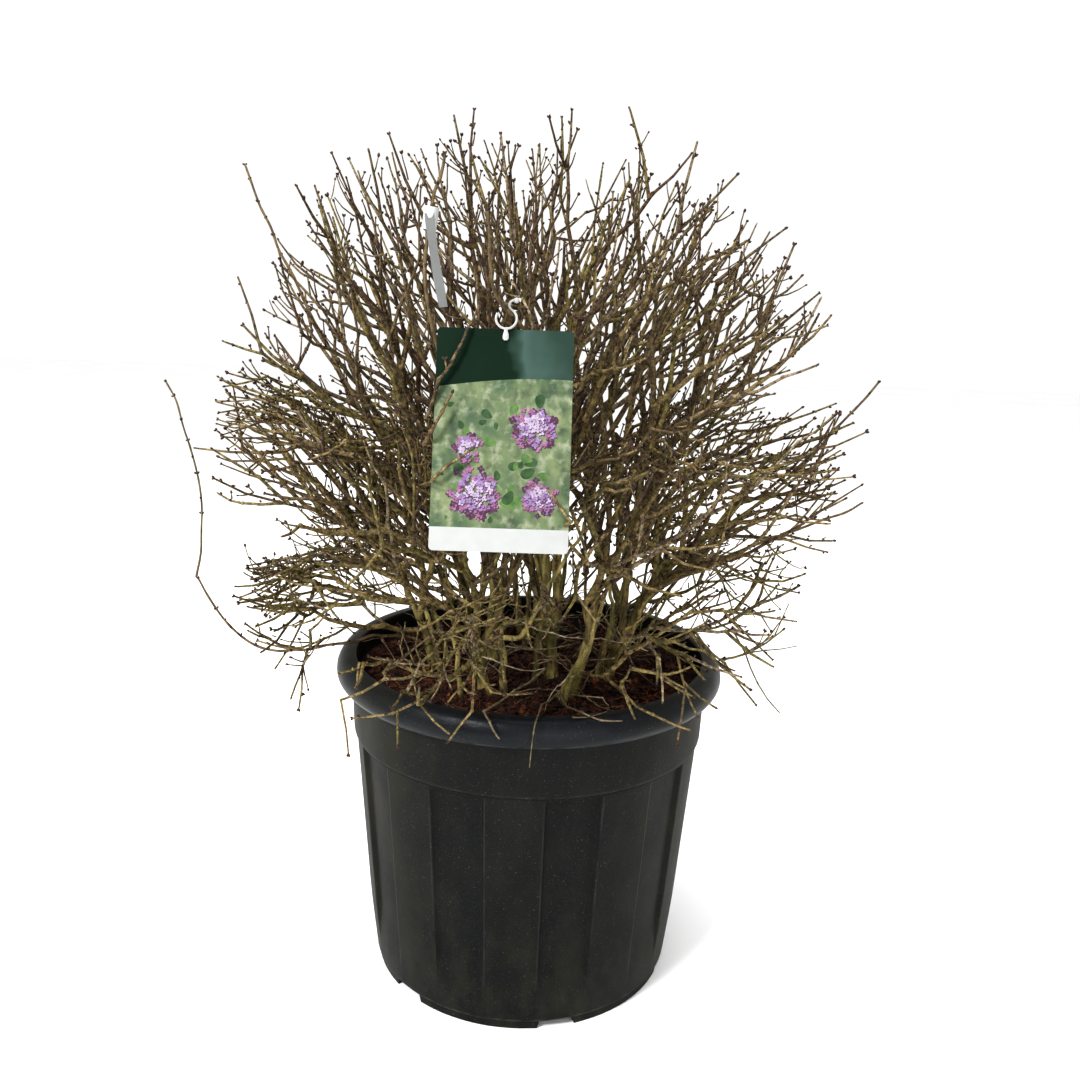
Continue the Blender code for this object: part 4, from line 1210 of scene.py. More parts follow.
def bark_relief(radii, lengths, sides, seed, foot):
    """The radius at every corner of a limb: ridges, lumps, swollen nodes and, on a stem, a knotty foot."""
    chance = random.Random(seed)
    offset = chance.uniform(0.0, 50.0)
    nodes = np.cumsum([chance.uniform(*LIMB_NODE_GAP) for _ in range(30)])
    relief = np.empty((len(radii), sides))
    for i, (radius, length) in enumerate(zip(radii, lengths)):
        node = 0.16 * math.exp(-((np.abs(nodes - length).min() / LIMB_NODE_HALF) ** 2))
        knots = 0.55 * math.exp(-length / KNOTTY_LENGTH) if foot else 0.0
        for side in range(sides):
            turn = math.tau * side / sides
            x, y = math.cos(turn), math.sin(turn)
            ridge, lump, knot = (
                noise.noise(Vector((x * across, y * across, length * along + shift)))
                for across, along, shift in ((1.6, 26.0, offset), (3.4, 120.0, offset), (1.9, 60.0, -offset))
            )
            swell = 1.0 + 0.15 * ridge + 0.12 * lump + node * (1 + lump) + knots * (0.6 + knot)
            relief[i, side] = radius * swell
    return relief


def companion_stems(limbs, surroundings):
    """Thinner stems that rise beside the others and on beside their boughs, and crowd the bush's foot."""
    found = []
    for limb in limbs.values():
        if not limb.name.startswith("stem"):
            continue
        chance = random.Random(limb.name + " companions")
        for number in range(COMPANIONS):
            family = chance.choice(("bough_outer", "bough_upper"))
            bough = limbs.get(limb.name.replace("stem_outer", family)) if "outer" in limb.name else None
            route = limb.points + (bough.points[1:] if bough else [])
            off = around(chance.uniform(0.0, 360.0), chance.uniform(*COMPANION_OFF), 0.0)
            drift = around(chance.uniform(0.0, 360.0), COMPANION_DRIFT, 0.0)
            points = [point + off + drift * (i / (len(route) - 1)) ** 1.3 for i, point in enumerate(route)]
            points[0].z = limb.points[0].z
            if any(surroundings.meets(point) for point in points):
                continue
            radii = tapered(chance.uniform(*COMPANION_RADII), COMPANION_TIP, len(points) - 1)
            found.append(Limb(f"{limb.name} beside {number}", points, radii))
    return found


def carrier_of(limb, limbs):
    """The limb that this one grows from, or None for a stem."""
    if limb.name.startswith("stem"):
        return None
    family, _, number = limb.name.rpartition("_")
    if family in ("bough_outer", "bough_upper"):
        return limbs[f"stem_outer_{number}"]
    if limb.name == "shoot_left_high":
        return limbs["shoot_left_low"]
    return limbs[SHOOTS[limb.name[len("shoot_") :]]["from"]]


def draw_limb(shape, limb, carrier, sides, spacing):
    """A limb with bark relief, led back into what carries it."""
    points, radii = list(limb.points), list(limb.radii)
    start = (points[1] - points[0]).normalized()
    if limb.name.startswith("shoot"):
        points[-1] = points[-1] + (points[-2] - points[-1]).normalized() * BUD_LENGTH[1]
    if carrier is None:
        points.insert(0, points[0] - Vector((0.0, 0.0, STEM_SUNK)))
        radii.insert(0, radii[0] * 1.1)
    else:
        sunk = 0.9 * min(carrier.radii[-2] * 2, LIMB_SUNK)
        points.insert(0, points[0] - start * sunk)
        radii.insert(0, radii[0] * 1.05)
        radii[1] *= 1.22
    path, thickness, lengths = smooth_path(points, radii, spacing)
    relief = bark_relief(thickness, lengths, sides, limb.name, carrier is None)
    shape.add(*tube(path, relief, sides, 0.3))


def make_stems_and_boughs(limbs, surroundings):
    """The stems, the boughs and the long shoots, each kind joined, in place of their solids."""
    kinds = (
        ("stems", "stem", "olive_bark", 18, 0.0026, "stem_bark"),
        ("boughs", "bough", "khaki_bark", 14, 0.0030, "bough_bark"),
        ("long_shoots", "shoot", "shoot_bark", 8, 0.0040, "bough_bark"),
    )
    for name, family, bark, sides, spacing, slot in kinds:
        shape = Shape(name, [bark_finish(bark, *BARK_SHADES[bark])])
        kind = [limb for limb in limbs.values() if limb.name.startswith(family)]
        beside = companion_stems(limbs, surroundings) if family == "stem" else []
        for limb in kind + beside:
            draw_limb(shape, limb, carrier_of(limb, limbs), sides, spacing)
        piece = shape.make()
        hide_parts(*[limb.name for limb in kind])
        settle(piece, slot)


def make_shoot_growth(limbs, surroundings):
    """Buds along the long shoots and at their tips."""
    axes = []
    for limb in limbs.values():
        if limb.name.startswith("shoot"):
            index = nearest_space(limb.points[-1], surroundings)
            axes.append(Axis(limb.points, limb.radii, index, 0))
    buds = []
    for number, axis in enumerate(axes):
        chance = random.Random(f"shoot sides {number}")
        for place, along, side, radius in nodes_along(axis.points[2:], axis.radii[2:], chance):
            for way in (side, -side):
                buds.append(node_bud(place, along, way, radius, axis.mass, chance))
    buds += tip_buds(axes)
    shape = Shape("long_shoot_buds", bud_finishes())
    for number, bud in enumerate(buds):
        draw_bud(shape, bud, number)
    settle(shape.make(), "twigs")


# Dry twigs
def dry_height(point):
    """The least height of a dry twig over the compost, the lip or the air outside the pot."""
    outwards = math.hypot(point.x, point.y)
    if outwards > LIP_RADIUS + 0.004:
        return DRY_LOWEST
    return LIP_TOP + DRY_OVER_LIP if outwards > LIP_INNER_RADIUS - 0.006 else SOIL + DRY_OVER_SOIL


def sprawl(start, heading, length, chance):
    """A dry twig that sinks in wavering bends from its start and lies on the compost inside the lip."""
    points = [start]
    pieces = max(4, round(length / DRY_PIECE))
    for _ in range(pieces):
        kink = Vector((chance.uniform(-0.32, 0.32), chance.uniform(-0.32, 0.32), chance.uniform(-0.28, 0.10)))
        heading = (heading + kink).normalized()
        point = points[-1] + heading * length / pieces
        outwards = math.hypot(point.x, point.y)
        if outwards > DRY_EDGE:
            point.x *= DRY_EDGE / outwards
            point.y *= DRY_EDGE / outwards
        point.z = max(point.z, dry_height(point))
        points.append(point)
    return points


def make_dry_twigs(limbs):
    """Pale dry twigs sprawling from the stems' feet, by a seeded rule and along the routes that stand out."""
    shape = Shape("dry_twigs", [speckled(name, *pair, 170.0) for name, pair in DRY_SHADES.items()])
    for limb in limbs.values():
        if not limb.name.startswith("stem"):
            continue
        chance = random.Random(limb.name + " dry")
        foot = limb.points[0]
        for _ in range(DRY_TWIGS_EACH):
            angle = angle_of(foot) + chance.uniform(-150.0, 150.0)
            start = foot + Vector((0.0, 0.0, chance.uniform(*DRY_START)))
            heading = fan_direction(chance.uniform(35.0, 85.0), angle)
            main = sprawl(start, heading, chance.uniform(*DRY_LENGTH), chance)
            finish = chance.choices((0, 1, 2), (2, 3, 3))[0]
            draw_dry(shape, main, DRY_RADIUS * chance.uniform(0.7, 1.3), finish, chance)
            fork = chance.randrange(1, len(main) - 1)
            along = (main[fork + 1] - main[fork]).normalized()
            turned = Matrix.Rotation(chance.choice((-0.7, 0.7)), 3, "Z") @ along
            side = sprawl(main[fork], turned, chance.uniform(*DRY_SIDE_LENGTH), chance)
            draw_dry(shape, side, DRY_RADIUS * 0.7, finish, chance)
    for route, radius, finish in DRY_ROUTES:
        chance = random.Random(str(route[0]))
        draw_dry(shape, [Vector(point) for point in route], radius, finish, chance)
    settle(shape.make(), "twigs")


def draw_dry(shape, points, radius, finish, chance):
    radii = tapered(radius, max(FINEST_TIP, radius * 0.55), len(points) - 1)
    path, thickness = twig_path(points, radii, chance)
    shape.add(*tube(path, thickness, 5, 1.0), finish)


# Places of the label, its hook and the tag
def card_frame():
    """The card's own frame: x across, z up its face, and -y out of its printed side."""
    return Matrix.Translation(CARD_CENTRE) @ Matrix.Rotation(math.radians(-CARD_TILT), 4, "X")


def hook_ring():
    """The middle of the hook's ring and its outward direction at its closed end, in the card's frame."""
    middle = Vector((0.0, -CARD_THICK / 2 - CLEAR - HOOK_WIRE, CARD_HEIGHT / 2 + HOOK_RING))
    turn = math.radians(HOOK_END_ANGLE)
    return middle, Vector((math.cos(turn), 0.0, math.sin(turn)))


def hook_seat(shoot_radius):
    """Where the carrying shoot passes through the ring, just inside its closed end, and its heading."""
    frame = card_frame()
    middle, outwards = hook_ring()
    inside = HOOK_RING - HOOK_WIRE - shoot_radius - 1.5 * CLEAR
    along_ring = Vector((-outwards.z, 0.0, outwards.x))
    heading = frame.to_3x3() @ (Vector((0.0, -0.75, 0.0)) + along_ring * 0.65)
    return frame @ (middle + outwards * inside), heading.normalized()


def arc(middle, radius, first, last, count):
    """Points along an arc in the card's plane."""
    points = []
    for step in range(count + 1):
        turn = math.radians(first + (last - first) * step / count)
        points.append(middle + Vector((math.cos(turn), 0.0, math.sin(turn))) * radius)
    return points


# Finishes
class Finish:
    """A material in the making, with short calls for the nodes that these finishes use."""

    def __init__(self, name, roughness, specular=0.5):
        self.made = bpy.data.materials.new(name)
        self.made.use_nodes = True
        self.nodes = self.made.node_tree.nodes
        self.links = self.made.node_tree.links
        self.shader = self.nodes["Principled BSDF"]
        self.place = self.nodes.new("ShaderNodeTexCoord").outputs["Object"]
        self.feed(self.shader, {"Roughness": roughness, "Specular IOR Level": specular})

    def feed(self, node, inputs):
        """Sets inputs of a node: links a socket, and takes a tuple as a colour without its alpha."""
        for name, source in inputs.items():
            if isinstance(source, bpy.types.NodeSocket):
                self.links.new(source, node.inputs[name])
            else:
                node.inputs[name].default_value = (*source, 1.0) if isinstance(source, tuple) else source

    def node(self, kind, inputs):
        made = self.nodes.new("ShaderNode" + kind)
        self.feed(made, inputs)
        return made

    def noise(self, scale, detail=3.0, stretch=(1.0, 1.0, 1.0), rough=0.55):
        """A noise of about this many waves a metre. A stretch under 1 lengthens it along that axis."""
        moved = self.node("Mapping", {"Vector": self.place, "Scale": [scale * share for share in stretch]})
        grain = {"Vector": moved.outputs["Vector"], "Scale": 1.0, "Detail": detail, "Roughness": rough}
        return self.node("TexNoise", grain).outputs["Fac"]

    def between(self, value, low, high, to_low=0.0, to_high=1.0):
        """The value, spread from one range to another and held within it."""
        ends = {"From Min": low, "From Max": high, "To Min": to_low, "To Max": to_high}
        return self.node("MapRange", {"Value": value, **ends}).outputs["Result"]

    def mix(self, share, first, second):
        made = self.nodes.new("ShaderNodeMix")
        made.data_type = "RGBA"
        self.feed(made, {0: share, 6: first, 7: second})
        return made.outputs[2]

    def mottled(self, value, low, high, dark, light):
        """A colour that runs from dark to light as the value runs from low to high."""
        return self.mix(self.between(value, low, high), dark, light)

    def calculate(self, operation, *values):
        """The result of this operation on one or two values."""
        made = self.nodes.new("ShaderNodeMath")
        made.operation = operation
        self.feed(made, dict(enumerate(values)))
        return made.outputs[0]

    def times(self, first, second):
        return self.calculate("MULTIPLY", first, second)

    def plus(self, first, second):
        return self.calculate("ADD", first, second)

    def flutes(self, height):
        """How many degrees a place is off the middle of its flute, and whether it is up where flutes are."""
        pitch = math.tau / FLUTES
        turn = self.calculate("ARCTAN2", self.axis("X"), self.times(self.axis("Y"), -1.0))
        wrapped = self.calculate("FLOORED_MODULO", self.plus(turn, -math.radians(FLUTE_TURN)), pitch)
        off = self.times(self.calculate("ABSOLUTE", self.plus(wrapped, -pitch / 2)), math.degrees(1.0))
        above = self.between(height, BODY_LOW - 0.6 * FLUTE_FADE, BODY_LOW)
        return off, self.times(above, self.between(height, FLUTE_FULL, FLUTE_TOP, 1.0, 0.0))

    def band(self, value, middle, half):
        """One where the value is at the middle of a band, falling to nothing at its edges."""
        rise = self.between(value, middle - half, middle)
        return self.times(rise, self.between(value, middle, middle + half, 1.0, 0.0))

    def axis(self, which):
        """The point's X, Y or Z."""
        return self.node("SeparateXYZ", {"Vector": self.place}).outputs[which]

    def colour(self, source, *layers):
        """The finish's colour: a ground, with each layer's shade laid over it by its share."""
        for share, shade in layers:
            source = self.mix(share, source, shade)
        self.feed(self.shader, {"Base Color": source})

    def bump(self, height, strength, distance):
        made = self.node("Bump", {"Height": height, "Strength": strength, "Distance": distance})
        self.feed(self.shader, {"Normal": made.outputs["Normal"]})


def shaded(colour, factor):
    """The colour, darker or lighter by this factor."""
    return tuple(value * factor for value in colour)


def speckled(name, dark, light, scale, roughness=0.85, bump=0.35, detail=3.0):
    """A dull natural finish whose colour wanders between two shades."""
    finish = Finish(name, roughness)
    finish.colour(finish.mottled(finish.noise(scale, detail), 0.36, 0.64, dark, light))
    finish.bump(finish.noise(scale * 4.0, 2.0), bump, 0.0006)
    return finish.made


def bark_finish(name, dark, light, algae, algae_share):
    """Bark with long pale and dark patches, dark cracks, a green bloom and small pale lenticels."""
    finish = Finish(name, 0.85)
    patches = finish.between(finish.noise(95.0, 5.0, (1.0, 1.0, 0.40)), 0.40, 0.60)
    bloom = finish.times(finish.between(finish.noise(26.0, 4.0), 0.44, 0.60), algae_share)
    cracks = finish.between(finish.noise(260.0, 5.0, (1.0, 1.0, 0.30), 0.65), 0.56, 0.66, 0.0, 0.85)
    dots = finish.between(finish.noise(520.0, 1.0), 0.65, 0.7, 0.0, 0.6)
    layers = (bloom, algae), (cracks, shaded(dark, 0.35)), (dots, shaded(light, 1.5))
    finish.colour(finish.mix(patches, dark, light), *layers)
    finish.feed(finish.shader, {"Roughness": finish.between(patches, 0.0, 1.0, 0.74, 0.92)})
    finish.bump(finish.noise(300.0, 5.0, (1.0, 1.0, 0.4), 0.65), 0.9, 0.0016)
    return finish.made


def twig_finish_of(name, dark, light):
    """Young bark that wanders between two shades, with small dark flecks all over it."""
    finish = Finish(name, 0.75)
    flecks = finish.between(finish.noise(620.0, 2.0), 0.50, 0.62, 0.0, 0.75)
    ground = finish.mottled(finish.noise(170.0, 4.0), 0.38, 0.62, dark, light)
    finish.colour(ground, (flecks, shaded(dark, 0.5)))
    finish.bump(finish.noise(700.0, 2.0), 0.5, 0.0006)
    return finish.made


def twig_finishes():
    return [twig_finish_of(name, *pair) for name, pair in TWIG_SHADES.items()]


def bud_finishes():
    return [speckled(name, *pair, 500.0, 0.75, 0.2, 2.0) for name, pair in BUD_SHADES.items()]


def pot_finish():
    """Black plastic, matt and grainy, with a glossier lip, grey-green dust, pale lines, scuffs, and painted
    light: a lip highlight, flute shade, edge highlights and rim light on the flanks.
    """
    finish = Finish("black_pot", 0.5, 0.20)
    height = finish.axis("Z")
    cloud = finish.noise(9.0, 5.0, (1.0, 1.0, 0.6))
    plastic = finish.mottled(cloud, 0.35, 0.65, (0.0026, 0.0032, 0.0033), (0.0050, 0.0056, 0.0051))
    off_middle, on_body = finish.flutes(height)
    # Darker and bluish inside the flutes: painted shade in the recesses.
    painted_flute_shade = finish.between(off_middle, FLUTE_HALF_ANGLE - 0.6, FLUTE_HALF_ANGLE, 0.6, 0.0)
    # The lip is glossier, and its colour is lighter and bluish there: a painted highlight along the lip.
    lip_gloss_and_painted_highlight = finish.between(height, LIP_UNDER - 0.001, LIP_UNDER + 0.004)
    dust = finish.between(finish.noise(30.0, 7.0, (1.0, 1.0, 0.5), 0.65), 0.42, 0.72)
    # Lighter olive towards the left and right as seen from the front: dust there, and painted rim light on
    # the flanks.
    flank_dust_and_painted_rim_light = finish.between(finish.calculate("ABSOLUTE", finish.axis("X")), 0.09, 0.22, 0.0, 0.75)
    # Thin pale lines along the flutes' edges, broken into patches: painted highlights where the edges catch
    # the light.
    edges = finish.times(finish.band(off_middle, FLUTE_HALF_ANGLE - 0.1, 0.42), on_body)
    edge_highlight_patches = finish.between(finish.noise(45.0, 5.0, (1.0, 1.0, 0.5)), 0.36, 0.62, 0.10, 0.60)
    patchy = finish.between(finish.noise(60.0, 4.0, (1.0, 1.0, 0.1)), 0.40, 0.60, 0.0, 0.55)
    levels = ((LIP_UNDER + 0.003, 0.080), (COLLAR_BOTTOM + 0.001, 0.030), (FOOT_HEIGHT + 0.001, 0.070))
    rims = [
        (finish.times(finish.band(height, level, 0.0022), patchy), (pale, pale, 0.93 * pale))
        for level, pale in levels
    ]
    grain = finish.between(finish.noise(420.0, 3.0, rough=0.7), 0.48, 0.66, 0.0, 0.50)
    scuffs = finish.between(finish.noise(70.0, 9.0, (0.5, 0.5, 3.2), 0.74), 0.69, 0.75, 0.0, 0.40)
    finish.colour(
        plastic,
        (finish.times(painted_flute_shade, on_body), (0.0016, 0.0020, 0.0027)),
        (lip_gloss_and_painted_highlight, (0.0085, 0.0103, 0.0145)),
        (finish.times(dust, finish.between(height, 0.0, 0.20, 0.80, 0.25)), (0.026, 0.025, 0.015)),
        (finish.times(flank_dust_and_painted_rim_light, finish.between(finish.noise(16.0, 5.0), 0.3, 0.6)), (0.021, 0.0195, 0.010)),
        (finish.times(edges, edge_highlight_patches), (0.040, 0.042, 0.038)),
        *rims,
        (grain, (0.0130, 0.0138, 0.0112)),
        (finish.between(finish.noise(640.0, 1.0), 0.715, 0.745, 0.0, 0.6), (0.12, 0.12, 0.10)),
        (scuffs, (0.075, 0.078, 0.075)),
    )
    dull = finish.between(cloud, 0.3, 0.7, 0.48, 0.60)
    finish.feed(finish.shader, {"Roughness": finish.plus(dull, finish.times(lip_gloss_and_painted_highlight, -0.16))})
    finish.bump(finish.noise(520.0, 3.0), 0.34, 0.0008)
    return finish.made


def white_plastic(name, colour, see_through, roughness=0.35):
    """Thin milky plastic, through which some light comes."""
    finish = Finish(name, roughness)
    finish.colour(finish.mottled(finish.noise(60.0, 2.0), 0.35, 0.65, shaded(colour, 0.95), colour))
    finish.bump(finish.noise(420.0, 2.0), 0.12, 0.0005)
    depth = {"Subsurface Radius": [0.003, 0.003, 0.003], "Subsurface Scale": 1.0}
    finish.feed(finish.shader, {"Subsurface Weight": see_through, **depth})
    return finish.made


def print_finish(name, dark, light, scale):
    """Printed card whose ink runs between two shades."""
    finish = Finish(name, 0.45, 0.25)
    finish.colour(finish.mottled(finish.noise(scale), 0.34, 0.66, dark, light))
    return finish.made


def header_finish():
    """Dark green print with a pale, wavy painted reflection towards the card's right edge."""
    finish = Finish("print_header", 0.35, 0.15)
    ink = finish.mix(finish.noise(30.0), (0.0022, 0.0110, 0.0052), (0.0045, 0.0200, 0.0100))
    # A pale band near the card's right edge, wavy and fading to the left: a painted reflection on the glossy
    # header.
    wave = finish.noise(26.0, 2.0)
    across = finish.plus(finish.axis("X"), finish.between(wave, 0.3, 0.7, -0.012, 0.012))
    near = finish.times(finish.between(across, 0.004, 0.020), finish.between(across, 0.022, 0.055, 1.0, 0.45))
    finish.colour(ink, (finish.times(near, 0.70), (0.066, 0.105, 0.093)))
    return finish.made


def garden_finish():
    """A blurred garden in greens, with light between the leaves, as a printed ground for the blossom."""
    finish = Finish("print_garden", 0.45, 0.25)
    bed = finish.noise(36.0, 3.0, (1.0, 1.0, 0.8))
    dark = finish.between(finish.noise(60.0, 4.0), 0.48, 0.70, 0.0, 0.8)
    light = finish.between(finish.noise(95.0, 4.0), 0.50, 0.72, 0.0, 0.8)
    greens = finish.mottled(bed, 0.36, 0.64, (0.054, 0.086, 0.048), (0.140, 0.168, 0.088))
    finish.colour(greens, (dark, (0.030, 0.048, 0.030)), (light, (0.250, 0.265, 0.190)))
    return finish.made


# Meshes
class Shape:
    """A piece in the making: its points, its faces of three and of four corners, and each face's finish."""

    def __init__(self, name, finishes):
        self.name = name
        self.finishes = finishes
        self.points = []
        self.faces = {3: [], 4: []}
        self.which = {3: [], 4: []}
        self.count = 0

    def add(self, points, quads, triangles, finish=0):
        for corners, faces in ((4, quads), (3, triangles)):
            if len(faces):
                self.faces[corners].append(np.asarray(faces, np.int32) + self.count)
                self.which[corners].append(np.full(len(faces), finish, np.int32))
        self.points.append(np.asarray(points, np.float32))
        self.count += len(points)

    def make(self, sharp=None):
        """The joined object, smooth all over or with sharp edges past the given angle in degrees."""
        mesh = bpy.data.meshes.new(self.name)
        points = np.concatenate(self.points)
        kinds = [corners for corners in (3, 4) if self.faces[corners]]
        faces = [np.concatenate(self.faces[corners]) for corners in kinds]
        which = np.concatenate([np.concatenate(self.which[corners]) for corners in kinds])
        sizes = np.concatenate([np.full(len(group), corners) for group, corners in zip(faces, kinds)])
        mesh.vertices.add(len(points))
        mesh.vertices.foreach_set("co", points.ravel())
        mesh.loops.add(int(sizes.sum()))
        mesh.loops.foreach_set("vertex_index", np.concatenate([group.ravel() for group in faces]))
        mesh.polygons.add(len(sizes))
        mesh.polygons.foreach_set("loop_start", np.concatenate([[0], np.cumsum(sizes)[:-1]]).astype(np.int32))
        for finish in self.finishes:
            mesh.materials.append(finish)
        mesh.polygons.foreach_set("material_index", which)
        mesh.update(calc_edges=True)
        mesh.validate()
        mesh.shade_smooth()
        if sharp is not None:
            mesh.set_sharp_from_angle(angle=math.radians(sharp))
        made = bpy.data.objects.new(self.name, mesh)
        bpy.context.scene.collection.objects.link(made)
        return made


def frames_along(points):
    """The direction of a path at each point, and two directions across it that turn as little as they can."""
    steps = np.diff(points, axis=0)
    steps /= np.linalg.norm(steps, axis=1)[:, None]
    along = np.vstack([steps[:1], steps[:-1] + steps[1:], steps[-1:]])
    along /= np.linalg.norm(along, axis=1)[:, None]
    across = np.empty_like(along)
    turned = np.cross(along[0], (1.0, 0.0, 0.0) if abs(along[0][2]) > 0.9 else (0.0, 0.0, 1.0))
    for i, direction in enumerate(along):
        turned = turned - direction * turned.dot(direction)
        turned /= np.linalg.norm(turned)
        across[i] = turned
    return along, across, np.cross(along, across)


@lru_cache(maxsize=None)
def tube_faces(rings, sides):
    """The faces between the rings of a tube, with a last point that closes its tip."""
    low = np.arange(rings - 1)[:, None] * sides
    a = np.arange(sides)[None, :]
    b = (a + 1) % sides
    quads = np.stack([low + a, low + b, low + sides + b, low + sides + a], axis=2).reshape(-1, 4)
    last = (rings - 1) * sides
    tip = np.stack([last + a[0], last + b[0], np.full(sides, rings * sides)], axis=1)
    return quads, tip


def tube(points, radii, sides, tip=0.4):
    """A round limb with a domed tip through these points. radii holds a number a ring or one a corner."""
    points = np.asarray(points, float)
    radii = np.asarray(radii, float)
    radii = radii[:, None] if radii.ndim == 1 else radii
    along, across, other = frames_along(points)
    turns = (np.arange(sides) * math.tau / sides)[None, :, None]
    ring = np.cos(turns) * across[:, None, :] + np.sin(turns) * other[:, None, :]
    corners = (points[:, None, :] + ring * radii[:, :, None]).reshape(-1, 3)
    end = points[-1] + along[-1] * radii[-1].mean() * tip
    return np.vstack([corners, end]), *tube_faces(len(points), sides)


# Pot
def rounded(corners):
    """A profile through these corners, each given as radius, height and rounding."""
    rows = []
    last = len(corners) - 1
    for i, (radius, height, rounding) in enumerate(corners):
        here = np.array((radius, height))
        if rounding == 0.0 or i in (0, last):
            rows.append(here)
            continue
        to_before = np.array(corners[i - 1][:2]) - here
        to_after = np.array(corners[i + 1][:2]) - here
        cut_before = min(rounding, 0.48 * np.linalg.norm(to_before))
        cut_after = min(rounding, 0.48 * np.linalg.norm(to_after))
        first = here + to_before / np.linalg.norm(to_before) * cut_before
        final = here + to_after / np.linalg.norm(to_after) * cut_after
        for t in np.linspace(0.0, 1.0, 6):
            rows.append(first * (1 - t) ** 2 + here * 2 * t * (1 - t) + final * t**2)
    return rows


def filled_in(rows, spacing):
    """The same profile with extra rows on its long straight stretches."""
    dense = [rows[0]]
    for before, after in zip(rows, rows[1:]):
        count = max(1, round(np.linalg.norm(after - before) / spacing))
        dense += [before + (after - before) * (i + 1) / count for i in range(count)]
    return dense


def pot_angles():
    """The angles of the pot's corners, closer together at the flutes' edges."""
    pitch = 360.0 / FLUTES
    edge = FLUTE_HALF_ANGLE
    inner = FLUTE_HALF_ANGLE - FLUTE_BEND
    half = [0.0, 3.0, 6.0, inner - 0.5, inner, inner + 0.3]
    half += [edge - 0.5, edge - 0.2, edge, edge + 0.5, 14.0, pitch / 2]
    offsets = sorted({-value for value in half[:-1]} | set(half))
    middles = [pitch * (flute + 0.5) + FLUTE_TURN for flute in range(FLUTES)]
    return np.array([middle + offset for middle in middles for offset in offsets])


def flute_share(angles, heights):
    """How deeply the wall is pressed in, from 0 to 1, with soft edges, a square top and a fading foot."""
    pitch = 360.0 / FLUTES
    off_middle = np.abs((angles - FLUTE_TURN) % pitch - pitch / 2)
    across = np.clip((FLUTE_HALF_ANGLE - off_middle) / FLUTE_BEND, 0.0, 1.0)
    up = np.clip((heights - BODY_LOW + FLUTE_FADE) / (1.4 * FLUTE_FADE), 0.0, 1.0)
    under = np.clip((FLUTE_TOP - heights) / (FLUTE_TOP - FLUTE_FULL), 0.0, 1.0)
    smooth = across * across * (3 - 2 * across)
    return smooth * up * up * (3 - 2 * up) * under


def body_radius(height):
    share = (height - BODY_LOW) / (COLLAR_BOTTOM - 0.003 - BODY_LOW)
    return BODY_LOW_RADIUS + (BODY_TOP_RADIUS - BODY_LOW_RADIUS) * share


def make_pot():
    """The moulded pot: rolled lip, collar, pressed-in flutes, rounded foot, foot ring and its notches."""
    lip_middle = LIP_BOTTOM + 0.45 * (LIP_TOP - LIP_BOTTOM)
    outer = rounded([
        (PAD_RADIUS, 0.0, 0.0),
        (PAD_RADIUS, FOOT_HEIGHT + 0.001, 0.001),
        (FOOT_RADIUS - FOOT_WIDTH, FOOT_HEIGHT + 0.001, 0.001),
        (FOOT_RADIUS - FOOT_WIDTH, 0.0, 0.0012),
        (FOOT_RADIUS, 0.0, 0.0015),
        (FOOT_RADIUS + 0.0008, FOOT_HEIGHT - 0.0015, 0.001),
        (FOOT_RADIUS + 0.003, FOOT_HEIGHT, 0.0015),
        (FOOT_RADIUS + 0.0055, BODY_LOW - FLUTE_FADE, 0.020),
        (BODY_LOW_RADIUS, BODY_LOW, 0.020),
        (body_radius(FLUTE_FULL - 0.0015), FLUTE_FULL - 0.0015, 0.0),
        (body_radius(FLUTE_FULL), FLUTE_FULL, 0.0),
        (body_radius(FLUTE_TOP), FLUTE_TOP, 0.0),
        (body_radius(FLUTE_TOP + 0.001), FLUTE_TOP + 0.001, 0.0),
        (BODY_TOP_RADIUS - 0.0008, COLLAR_BOTTOM - 0.0004, 0.0006),
        (COLLAR_RADIUS + 0.0004, COLLAR_BOTTOM - 0.0004, 0.0012),
        (COLLAR_RADIUS + 0.0010, COLLAR_BOTTOM + 0.0030, 0.0020),
        (COLLAR_RADIUS + 0.0030, LIP_UNDER, 0.0015),
        (LIP_RADIUS - 0.005, LIP_UNDER, 0.0030),
        (LIP_EDGE, LIP_UNDER + 0.0085, 0.004),
        (LIP_EDGE, lip_middle + 0.002, 0.006),
        (LIP_RADIUS - 0.006, LIP_TOP, 0.009),
        (LIP_INNER_RADIUS, LIP_TOP, 0.003),
        (COLLAR_RADIUS - WALL, COLLAR_BOTTOM, 0.0),
        (BODY_LOW_RADIUS - WALL, BODY_LOW, 0.0),
        (FOOT_RADIUS - WALL, FOOT_HEIGHT + 0.006, 0.0),
    ])
    rows = np.array(filled_in(outer, POT_ROW))
    angles = pot_angles()
    radii = np.repeat(rows[:, :1], len(angles), axis=1)
    heights = np.repeat(rows[:, 1:], len(angles), axis=1)
    inner_wall = np.argmax(rows[:, 1]) + 8
    pressed = flute_share(angles[None, :], heights) * FLUTE_DEPTH
    pressed[inner_wall:] = 0.0
    radii = radii - pressed
    turns = np.radians(angles)
    points = np.stack([radii * np.sin(turns), -radii * np.cos(turns), heights], axis=2).reshape(-1, 3)
    centres = np.array([(0.0, 0.0, rows[0][1]), (0.0, 0.0, rows[-1][1])])
    count = len(angles)
    quads, _ = tube_faces(len(rows), count)
    a = np.arange(count)
    b = (a + 1) % count
    first, last = len(points), len(points) + 1
    under = np.stack([np.full(count, first), b, a], axis=1)
    floor = np.stack([np.full(count, last), last - 1 - count + a, last - 1 - count + b], axis=1)
    shape = Shape("nursery_pot", [pot_finish()])
    shape.add(np.vstack([points, centres]), quads, np.vstack([under, floor]))
    pot = shape.make()
    cut_notches(pot)
    pot.data.set_sharp_from_angle(angle=math.radians(38))
    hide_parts("pot")
    settle(pot, "pot")


